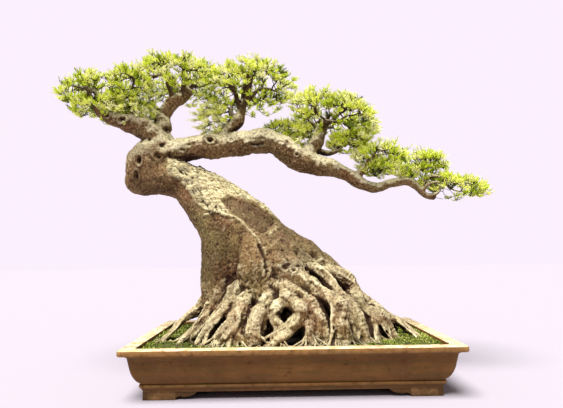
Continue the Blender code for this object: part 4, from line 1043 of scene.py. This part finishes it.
def make_bark(material, forks):
    """All the wood in one skin, parted into limbs, trunk and roots, and the rootlets beside it."""
    strands = wood_skeleton(forks)
    parts = [bole()] + [tube(points, STRAND_SIDES[kind]) for kind, points in strands]
    places, edges, faces = remesh(*join(parts))
    places, layers, kind = shape_bark(places, faces, edges, strands)
    limb = (kind[faces] == BOUGH).sum(1) >= 2
    low = places[faces][:, :, 2].mean(1) < BARK_SPLIT
    above = places[faces][:, :, 2].max(1) > GROUND - BARK_SEEN
    for name, chosen, replaced in (("bark_limbs", limb, LIMB_NODES), ("bark_trunk", ~limb & ~low, ["trunk"]),
                                   ("bark_roots", ~limb & low & above, ["trunk"])):
        new_piece(name, part_mesh(name, places, faces[chosen], layers), [material], replaced)
    paths = rootlets(FRONT_ROOTS + seeded_roots(), random.Random(ROOTLET_SEED))
    places, faces = join([tube(points, ROOTLET_SIDES) for points in paths])
    mesh = new_mesh("bark_rootlets", places, faces)
    paint(mesh, {"pale": 0.15 * noise(places * 60, 5), "dirt_and_shade": 0.8 * ramp(noise(places * 30, 6), 0.35, 0.75),
                 "wear_and_highlight": 0.05 + 0.55 * noise(places * 40, 9)})
    new_piece("bark_rootlets", mesh, [material], ["trunk"])


# ---------------------------------------------------------------- the pot
def pot_outline(inset):
    """The pot's rounded outline, drawn in by inset all round."""
    half_x, half_y = POT_LENGTH / 2 - inset, POT_DEPTH / 2 - inset
    ring = []
    for corner in range(4):
        middle = math.radians(45 + 90 * corner)
        centre_x = math.copysign(half_x - POT_CORNER, math.cos(middle))
        centre_y = math.copysign(half_y - POT_CORNER, math.sin(middle))
        for step in range(CORNER_STEPS + 1):
            angle = middle + math.radians(90 * step / CORNER_STEPS - 45)
            ring.append((POT_CENTRE[0] + centre_x + POT_CORNER * math.cos(angle),
                         POT_CENTRE[1] + centre_y + POT_CORNER * math.sin(angle)))
    return ring


def with_sides_cut(ring, pieces):
    """The outline with its long straight sides cut into even pieces."""
    cut = []
    for a, b in zip(ring, ring[1:] + ring[:1]):
        cut.append(a)
        if math.dist(a, b) > LONG_SIDE:
            cut += [tuple(p + (q - p) * k / pieces for p, q in zip(a, b)) for k in range(1, pieces)]
    return cut


def foot_profile(reach):
    """Along one arm of a bracket foot: (distance from the corner, height of its lower edge)."""
    bend = [math.radians(90 * step / FOOT_BEND_STEPS) for step in range(FOOT_BEND_STEPS + 1)]
    line = [(FOOT_THICKNESS, 0.0), (reach - 0.052, 0.0)]
    line += [(reach - 0.040 - 0.012 * math.cos(angle), 0.0085 * math.sin(angle)) for angle in bend]
    line += [(reach - 0.0375, 0.0092), (reach - 0.0345, 0.0070)]
    return line + [(reach - 0.0330 + 0.0330 * math.sin(angle),
                    0.0070 + (FOOT_HEIGHT - 0.0050) * (1 - math.cos(angle))) for angle in bend]


def make_foot(side_x, side_y):
    """A bracket foot: an L of two arms, thick at the corner, with a scrolled lower edge."""
    top = FOOT_HEIGHT + FOOT_SINK

    def station(outer, inner, low):
        """The four places of one cut across an arm: its outer and inner edges, low and at the top."""
        return [(POT_CENTRE[0] + side_x * (POT_LENGTH / 2 - FOOT_INSET - along_x),
                 side_y * (POT_DEPTH / 2 - FOOT_INSET - along_y), z)
                for z in (low, top) for along_x, along_y in (outer, inner)]

    vertices = []
    for distance, low in reversed(foot_profile(FOOT_LENGTH)):
        vertices += station((distance, 0), (distance, FOOT_THICKNESS), low)
    vertices += station((0, 0), (FOOT_THICKNESS, FOOT_THICKNESS), 0)
    for distance, low in foot_profile(FOOT_DEPTH):
        vertices += station((0, distance), (FOOT_THICKNESS, distance), low)
    last = len(vertices) - 4
    faces = []
    for a in range(0, last, 4):
        b = a + 4
        faces += [(a, b, b + 2, a + 2), (a + 1, a + 3, b + 3, b + 1), (a, a + 1, b + 1, b),
                  (a + 2, b + 2, b + 3, a + 3)]
    faces += [(0, 2, 3, 1), (last, last + 1, last + 3, last + 2)]
    return vertices, [quad if side_x * side_y > 0 else quad[::-1] for quad in faces]


def make_pot(material):
    """The pot: rings of one profile from its inner floor over the rim to its underside, and four feet."""
    inside_wall = [(0.150, FLOOR_TOP), (WALL_FOOT_INSET, FLOOR_TOP), (RIM_WIDTH + 0.004, 0.090),
                   (RIM_WIDTH, SOIL_TOP - 0.002), (RIM_WIDTH, POT_HEIGHT - 0.0028),
                   (RIM_WIDTH - 0.0006, POT_HEIGHT - 0.0010), (RIM_WIDTH - 0.0022, POT_HEIGHT),
                   (0.018, POT_HEIGHT + 0.0001)]
    wall = [tuple(place[:2]) for place, _ in smooth_path([((*place, 0.0), 0.0) for place in WALL_PROFILE], 4)]
    bottom = [(0.060, 0.0190), (0.150, 0.0190)]
    profile = inside_wall + RIM_PROFILE + wall + BASE_PROFILE + bottom
    rings = [[(x, y, height) for x, y in with_sides_cut(pot_outline(inset), POT_SIDE_PIECES)]
             for inset, height in profile]
    count = len(rings[0])
    vertices, faces = sum(rings, []), []
    for start in range(0, (len(profile) - 1) * count, count):
        for k in range(count):
            n = (k + 1) % count
            faces.append((start + k, start + count + k, start + count + n, start + n))
    faces.append(tuple(range(count)))
    faces.append(tuple(reversed(range((len(profile) - 1) * count, len(profile) * count))))
    for side_x in (-1, 1):
        for side_y in (-1, 1):
            more, quads = make_foot(side_x, side_y)
            faces += [tuple(k + len(vertices) for k in quad) for quad in quads]
            vertices += more
    places = np.array(vertices)
    sway = layered(places * 7, 2, 71) * POT_SWAY
    edge = ramp(places[:, 2], 0.112, 0.09) + 0.5
    out = unit(places[:, :2] - np.array(POT_CENTRE))
    places[:, :2] -= out * (np.abs(sway) * np.clip(edge, 0, 1))[:, None]
    mesh = bpy.data.meshes.new("clay_pot")
    mesh.from_pydata(places.tolist(), [], faces)
    mesh.set_sharp_from_angle(angle=math.radians(38))
    new_piece("clay_pot", mesh, [material], ["pot"])


# ---------------------------------------------------------------- the ground
def level_noise(x, y, scale, octaves, seed):
    """Layered noise over the level ground."""
    flat = np.stack([x, y, np.zeros_like(x)], -1).reshape(-1, 3)
    return layered(flat * scale, octaves, seed).reshape(x.shape)


def ground_height(x, y):
    """The mossy ground, raised round the roots and let down to the soil at the pot's wall."""
    far = np.sqrt(((x - 0.05) / 0.36) ** 2 + (y / 0.215) ** 2)
    lumps, wide = level_noise(x, y, 28, 3, 81), level_noise(x, y, 9, 2, 85)
    wall = ramp(np.minimum(POT_LENGTH / 2 - RIM_WIDTH - np.abs(x - POT_CENTRE[0]),
                           POT_DEPTH / 2 - RIM_WIDTH - np.abs(y)), -0.02, 0.012)
    return ((SOIL_TOP + 0.003 + MOUND * np.clip(1.25 - far, 0, 1) + 0.0032 * lumps + 0.0025 * wide) * wall
            + (SOIL_TOP + 0.001) * (1 - wall))


def bareness(x, y):
    """Where the ground under the roots is bare soil, 1, and not moss, 0."""
    far = np.hypot((x - 0.045) / 0.275, y / 0.235) + 0.16 * level_noise(x, y, 22, 2, 99)
    return 1 - ramp(far, 0.86, 1.0)


def make_moss(materials):
    """The ground with its skirt, and blades of moss over it."""
    half_x, half_y = POT_LENGTH / 2 - RIM_WIDTH - GAP, POT_DEPTH / 2 - RIM_WIDTH - GAP
    x, y = np.meshgrid(np.linspace(-half_x, half_x, MOSS_COLUMNS) + POT_CENTRE[0],
                       np.linspace(-half_y, half_y, MOSS_ROWS))
    top = np.stack([x, y, ground_height(x, y)], -1).reshape(-1, 3)
    k = np.arange(MOSS_ROWS * MOSS_COLUMNS).reshape(MOSS_ROWS, MOSS_COLUMNS)
    quads = np.stack([k[:-1, :-1], k[:-1, 1:], k[1:, 1:], k[1:, :-1]], -1).reshape(-1, 4)
    rim = np.concatenate([k[0, :-1], k[:-1, -1], k[-1, :0:-1], k[:0:-1, 0]])
    low = top[rim].copy()
    low[:, 2] = SOIL_TOP - MOSS_SKIRT
    lower = np.arange(len(rim)) + len(top)
    skirt = np.stack([rim, lower, np.roll(lower, -1), np.roll(rim, -1)], 1)
    mesh = new_mesh("moss_ground", np.concatenate([top, low]), np.concatenate([quads, skirt]))
    paint(mesh, {"bare": np.concatenate([bareness(x, y).ravel(), np.zeros(len(low))])})
    new_piece("moss_ground", mesh, materials[:1], ["soil"])

    rng = np.random.default_rng(MOSS_SEED)
    reach_x, reach_y = half_x - 0.002, half_y - 0.002
    roots = np.stack([rng.uniform(-reach_x, reach_x, MOSS_BLADES) + POT_CENTRE[0],
                      rng.uniform(-reach_y, reach_y, MOSS_BLADES), np.zeros(MOSS_BLADES)], 1)
    tuft = noise(roots * 55, 91)
    grown = (tuft > MOSS_THIN) & (bareness(roots[:, 0], roots[:, 1]) < 0.5)
    roots, tuft = roots[grown], tuft[grown]
    roots[:, 2] = ground_height(roots[:, 0], roots[:, 1]) - 0.001
    count = len(roots)
    lean = unit(np.stack([rng.normal(0, 0.5, count), rng.normal(0, 0.5, count), np.ones(count)], 1))
    length = (rng.uniform(*BLADE_LENGTH, count) * (0.55 + 0.8 * tuft))[:, None]
    side = unit(np.cross(lean, rng.normal(0, 1, (count, 3)))) * (rng.uniform(*BLADE_WIDTH, count)[:, None])
    middle = roots + lean * length * 0.55
    droop = np.stack([lean[:, 0], lean[:, 1], -np.abs(lean[:, 0])], 1) * length * 0.3
    tips = roots + lean * length + droop
    vertices = np.stack([roots - side * 0.6, roots + side * 0.6, middle + side, tips, middle - side], 1)
    base = np.arange(count)[:, None] * 5
    faces = np.concatenate([base + [[0, 1, 2]], base + [[0, 2, 4]], base + [[4, 2, 3]]])
    mesh = new_mesh("moss_blades", vertices.reshape(-1, 3), faces)
    tone = layered(roots * 14, 2, 95) * 1.6 + rng.normal(0, 0.9, count) + 1.9
    tone = np.clip(tone, 0, len(MOSS_SHADES) - 0.01).astype(np.int32)
    mesh.polygons.foreach_set("material_index", np.tile(tone, 3))
    new_piece("moss_blades", mesh, materials[1:], ["soil"])


# ---------------------------------------------------------------- the foliage
class Space:
    """The room that one mass keeps to: the part of an ellipsoid that is nearest its own centre."""

    def __init__(self, centre, half):
        self.centre, self.half = np.array(centre), np.array(half)

    def depth(self, places):
        return np.sqrt((((places - self.centre) / self.half) ** 2).sum(-1))

    def holds(self, places, others, margin=OWN_SIDE):
        own = self.depth(places)
        rivals = np.min([other.depth(places) for other in others if other is not self], axis=0)
        return (own <= 1.0) & (own + margin < rivals)


def sunflower(space, count, inset, rng, share_at, rise_at):
    """Places spread evenly over the space in the pattern of a sunflower's seeds, each raised by a rule."""
    inner = space.half - inset
    turn = rng.uniform(0, 2 * math.pi)
    ends = []
    for k in range(count):
        share, angle = share_at(k), turn + k * GOLDEN_ANGLE
        ends.append(space.centre
                    + np.array((share * math.cos(angle), share * math.sin(angle), rise_at(share))) * inner)
    return ends


def twig_ends(space, count, inset, thinnest, droop, rng):
    """Places over a dome inside the space, between its shell and thinnest of its height."""
    return sunflower(space, count, inset, rng, lambda k: math.sqrt((k + 0.5) / count),
                     lambda share: (math.sqrt(1 - share**2) * rng.uniform(thinnest, 1.0)
                                    - droop * share * rng.random()))


def skirt_ends(space, count, inset, rng):
    """Places spread through the lower half of the space, thinner towards its middle."""
    return sunflower(space, count, inset, rng, lambda k: math.sqrt(0.08 + 0.92 * (k + 0.5) / count),
                     lambda share: -math.sqrt(1 - share**2) * rng.uniform(0.1, 1.0) - 0.1 * rng.random())


def fill_ends(centre, half, count, rng):
    """Places spread at random through an ellipsoid."""
    ends = []
    while len(ends) < count:
        share = np.array([rng.uniform(-1, 1) for _ in range(3)])
        if (share**2).sum() < 1:
            ends.append(np.array(centre) + share * half)
    return ends


class Twigs:
    """A branching twig that grows by a rule: the nearest node reaches out to each new end."""

    def __init__(self, bough, forks, spurs):
        tip, radius = bough[-1]
        along = unit(tip - bough[-2][0])
        outer = bough[int(len(bough) * (1 - BOUGH_SHARE)):]
        self.places = [place for place, _ in outer] + [tip + along * STEM_LENGTH]
        self.stem = len(self.places) - 1
        self.parents = list(range(-1, self.stem))
        self.runs = [float(np.linalg.norm(tip - place)) for place in self.places]
        self.chains = [[self.stem - 1, self.stem]]
        self.radius = radius * STEM_SHARE
        for fork in forks:
            parent = int(np.argmin(np.linalg.norm(np.array(self.places[:self.stem]) - fork[0][0], axis=1)))
            for place, _ in fork[2:]:
                parent = self.add(place, parent, FORK_RUN * float(np.linalg.norm(place - fork[0][0])))
        for place in spurs:
            self.add(place, 0, SPUR_RUN)

    def add(self, place, parent, run):
        """Adds a node, run along the wood from the bough's tip, and returns its number."""
        self.places.append(place)
        self.parents.append(parent)
        self.runs.append(run)
        return len(self.places) - 1

    def reach(self, ends, rng):
        """Grows out to all the ends, nearest first, and returns the nodes that stand at them."""
        ends = np.array(ends)
        cost, best = np.full(len(ends), np.inf), np.zeros(len(ends), int)

        def offer(node):
            price = np.linalg.norm(ends - self.places[node], axis=1) + PATH_WEIGHT * self.runs[node]
            closer = price < cost
            cost[closer], best[closer] = price[closer], node

        for node in range(len(self.places)):
            offer(node)
        waiting, reached = np.ones(len(ends), bool), []
        while waiting.any():
            k = int(np.argmin(np.where(waiting, cost, np.inf)))
            waiting[k] = False
            at = int(best[k])
            start, end = self.places[at], ends[k]
            length = float(np.linalg.norm(end - start))
            chain = [at]
            for step in range(1, TWIG_NODES + 1):
                t = step / TWIG_NODES
                place = start + (end - start) * t
                if step < TWIG_NODES:
                    wander = np.array([rng.uniform(-1, 1) for _ in range(3)]) * TWIG_WANDER
                    place = place + (wander + [0, 0, -4 * TWIG_SAG * t * (1 - t)]) * length
                chain.append(self.add(place, chain[-1], self.runs[at] + length * t))
            self.chains.append(chain)
            reached.append(chain[-1])
            for node in chain[1:]:
                offer(node)
        return reached

    def thicken(self):
        """Radii that grow towards the stem with the number of tips each node carries."""
        carried = np.zeros(len(self.places))
        parents = np.array(self.parents)
        leafy = np.ones(len(self.places), bool)
        leafy[parents[1:]] = False
        carried[leafy] = 1
        for node in range(len(self.places) - 1, 0, -1):
            carried[parents[node]] += carried[node]
        power = math.log(self.radius / TWIG_TIP_RADIUS) / math.log(carried[0])
        return TWIG_TIP_RADIUS * carried**power

    def tubes(self):
        """A tube along each chain of nodes, smoother and rounder where it is thick."""
        radii = self.thicken()
        made = []
        for chain in self.chains:
            points = [(self.places[node], radii[node]) for node in chain]
            thick = radii[chain[1]]
            points[0] = (points[0][0], min(points[0][1], thick * TWIG_FLARE))
            sides = next(count for least, count in TWIG_SIDES if thick > least)
            made.append(tube(smooth_path(points, 2) if thick > SMOOTH_TWIG else points, sides))
        return made


def grow_leaves(shoots, rng):
    """Leaves in sprays along shoots, each (start, direction, length, shade, leaf size)."""
    starts, ways, lengths, shades, sizes = (np.array(column) for column in zip(*shoots))
    count = len(shoots)
    side = unit(np.cross(ways, unit(rng.normal(0, 1, (count, 3)))))
    other = np.cross(ways, side)
    vertices = []
    for k in range(LEAVES):
        t = (k + 0.6) / LEAVES
        angle = k * GOLDEN_ANGLE + rng.uniform(-0.4, 0.4, count)
        radial = side * np.cos(angle)[:, None] + other * np.sin(angle)[:, None]
        open_out = (1.05 - 0.75 * t) * rng.uniform(0.7, 1.2, count)
        way = unit(ways + radial * open_out[:, None] + [0, 0, 0.18])
        root = starts + ways * (lengths * t)[:, None]
        long = (rng.uniform(*LEAF_LENGTH, count) * sizes)[:, None]
        flat = unit(np.cross(way, rng.normal(0, 0.35, (count, 3)) + ways))
        up = np.cross(flat, way)
        wide = flat * long / LEAF_LENGTH[1] * LEAF_WIDTH / 2
        middle = root + way * long * 0.48
        tip = root + way * long + up * long * rng.uniform(-0.12, 0.22, count)[:, None]
        vertices.append(np.stack([root, middle + wide + up * long * 0.05, tip,
                                  middle - wide + up * long * 0.05, middle - up * long * 0.02], 1))
    vertices = np.concatenate(vertices).reshape(-1, 3)
    base = np.arange(len(vertices) // 5)[:, None] * 5
    faces = np.concatenate([base + [[0, 1, 4]], base + [[0, 4, 3]], base + [[4, 1, 2]], base + [[4, 2, 3]]])
    return vertices, faces, np.tile(shades, 4 * LEAVES)


def grow_twigs(name, spaces, forks, leaf_size, rng):
    """The twigs of one mass, and the nodes at the ends of the finer ones."""
    bough, centre, half, count = MASSES[name]
    space = spaces[name]
    rivals = list(spaces.values())
    (shift, slope), fills = LEANS.get(name, ((0.0, 0.0, 0.0), 0.0)), FILLS.get(name, [])
    wood = np.array([place for points in (LIMB, SIDE_BOUGHS.get(bough, LIMB))
                     for place, _ in smooth_path(points, 3)])
    spurs = [place for place in wood for at, size, _ in fills
             if np.hypot(place[0] - at[0], place[2] - at[2]) < max(size[0], size[2]) + 0.03]
    twigs = Twigs(smooth_path(bough_points(bough), 4), forks, spurs)

    def leaned(places):
        places = np.array(places) + shift
        places[:, 2] -= slope * (places[:, 0] - centre[0])
        return places

    def scaled(ends):
        return int(ends * half[0] * half[1] / FULL_AREA)

    def with_gaps(places, gaps):
        """Those that are in this mass's own space and inside a clump."""
        places = np.array(places)
        return leaned(places[space.holds(places, rivals) & (noise(places * CLUMPS, 91) > gaps)])

    twigs.reach(leaned(twig_ends(space, count, DOME_INSET * leaf_size, DOME_THINNEST, DOME_DROOP, rng)), rng)
    for ends, *dome in FINE_ROUNDS:
        places = twig_ends(space, max(12, scaled(ends)), *dome, rng)
        reached = twigs.reach(with_gaps(places, CLUMP_GAPS), rng)
    places = skirt_ends(space, max(8, scaled(SKIRT)), SKIRT_INSET, rng)
    reached += twigs.reach(with_gaps(places, SKIRT_GAPS), rng)
    for at, size, ends in fills:
        reached += twigs.reach(fill_ends(at, size, ends, rng), rng)
    return twigs, reached


def grow_shoots(space, twigs, reached, leaf_size, rng):
    """Leafy shoots at the ends of the finer twigs, with a few further in, and the tubes of their stalks."""
    shoots, stalks = [], []
    base = space.centre - np.array([0, 0, space.half[2]])
    bearing = [(node, SHOOTS) for node in reached]
    bearing += [(twigs.parents[node], INNER_SHOOTS) for node in reached[::3]]
    for node, several in bearing:
        place = twigs.places[node]
        along = unit(place - twigs.places[twigs.parents[node]])
        out = unit(unit(place - base) + along * 0.6 + [0, 0, 0.35])
        # Leaf colour: lighter on the outside and top of a mass and darker within, a painted light and shade,
        # with random patches and scatter.
        high = (place[2] - space.centre[2]) / space.half[2]
        outer = float(np.linalg.norm((place - space.centre) / space.half))
        patch = float(noise(place[None] * 22, 7)[0]) - 0.5
        tone = 1.9 + 2.4 * min(outer, 1.15) ** 2 + 0.9 * high + 2.6 * patch + rng.gauss(0, 0.9)
        turn = rng.uniform(0, TURN)
        for k in range(several):
            angle = turn + k * GOLDEN_ANGLE
            fan = np.array([math.cos(angle), math.sin(angle), rng.uniform(-0.35, 0.5)]) * SHOOT_SPREAD
            way = unit(out + fan)
            length = rng.uniform(*SHOOT_LENGTH) * (1.0 if rng.random() > LONG_SHOOTS else 1.5)
            shade = int(min(max(tone + rng.gauss(0, 0.35), 0), len(LEAF_SHADED_TO_LIT) - 0.01))
            shoots.append((place, way, length, shade, 0.9 if leaf_size == 1 else 0.85))
            stalks.append(tube([(place, TWIG_TIP_RADIUS), (place + way * length, TWIG_TIP_RADIUS * 0.6)], 3))
    return shoots, stalks


def make_foliage(bark, leaf_tones, forks):
    """The twigs and the leaves of every mass."""
    spaces = {name: Space(centre, half) for name, (_, centre, half, _) in MASSES.items()}
    for index, (name, (_, _, half, _)) in enumerate(MASSES.items()):
        rng = random.Random(MASS_SEED + index)
        leaf_size = min(1.0, max(0.68, half[2] / 0.078))
        twigs, reached = grow_twigs(name, spaces, forks[name], leaf_size, rng)
        shoots, stalks = grow_shoots(spaces[name], twigs, reached, leaf_size, rng)
        place = name.removeprefix("mass_")
        mesh = new_mesh("twigs_" + place, *join(twigs.tubes() + stalks))
        new_piece("twigs_" + place, mesh, [bark], [name])
        places, faces, tones = grow_leaves(shoots, np.random.default_rng(MASS_SEED + index))
        mesh = new_mesh("leaves_" + place, places, faces)
        mesh.polygons.foreach_set("material_index", tones.astype(np.int32))
        new_piece("leaves_" + place, mesh, leaf_tones, [name], smooth=False)


# ---------------------------------------------------------------- stage, light and camera
def make_stage():
    """The floor, the studio's light and the camera."""
    floor = linked("floor", new_mesh("floor", np.array(
        [(-12, -12, 0), (12, -12, 0), (12, 12, 0), (-12, 12, 0)], float), np.array([[0, 1, 2, 3]])))
    floor.data.materials.append(Shader("plain_floor", FLOOR_COLOUR, 0.9, 0.0).material)
    scene = bpy.context.scene
    scene.world = bpy.data.worlds.new("studio")
    scene.world.use_nodes = True
    nodes, links = scene.world.node_tree.nodes, scene.world.node_tree.links
    seen, tint = nodes.new("ShaderNodeLightPath"), nodes.new("ShaderNodeMix")
    tint.data_type = "RGBA"
    tint.inputs[6].default_value = FILL_COLOUR  # its colour sockets, A and B
    tint.inputs[7].default_value = linear(252, 240, 254)
    links.new(seen.outputs["Is Camera Ray"], tint.inputs[0])
    links.new(tint.outputs[2], nodes["Background"].inputs["Color"])
    data = bpy.data.lights.new("overhead", "SUN")
    data.energy, data.angle, data.color = SUN_POWER, math.radians(SUN_WIDTH), SUN_COLOUR
    linked("overhead", data).rotation_euler = Vector(SUN_WAY).to_track_quat("-Z", "Y").to_euler()
    scene.view_settings.view_transform = "Standard"
    data = bpy.data.cameras.new("camera")
    data.lens, data.sensor_width, data.sensor_fit = LENS, 36.0, "HORIZONTAL"
    scene.camera = linked("camera", data)
    scene.camera.location, scene.camera.rotation_euler = CAMERA_PLACE, CAMERA_TURN


forks = grow_forks()
make_stage()
make_bark(bark_material(), forks)
make_pot(clay_material())
make_moss(moss_materials())
make_foliage(twig_material(), leaf_materials(), forks)
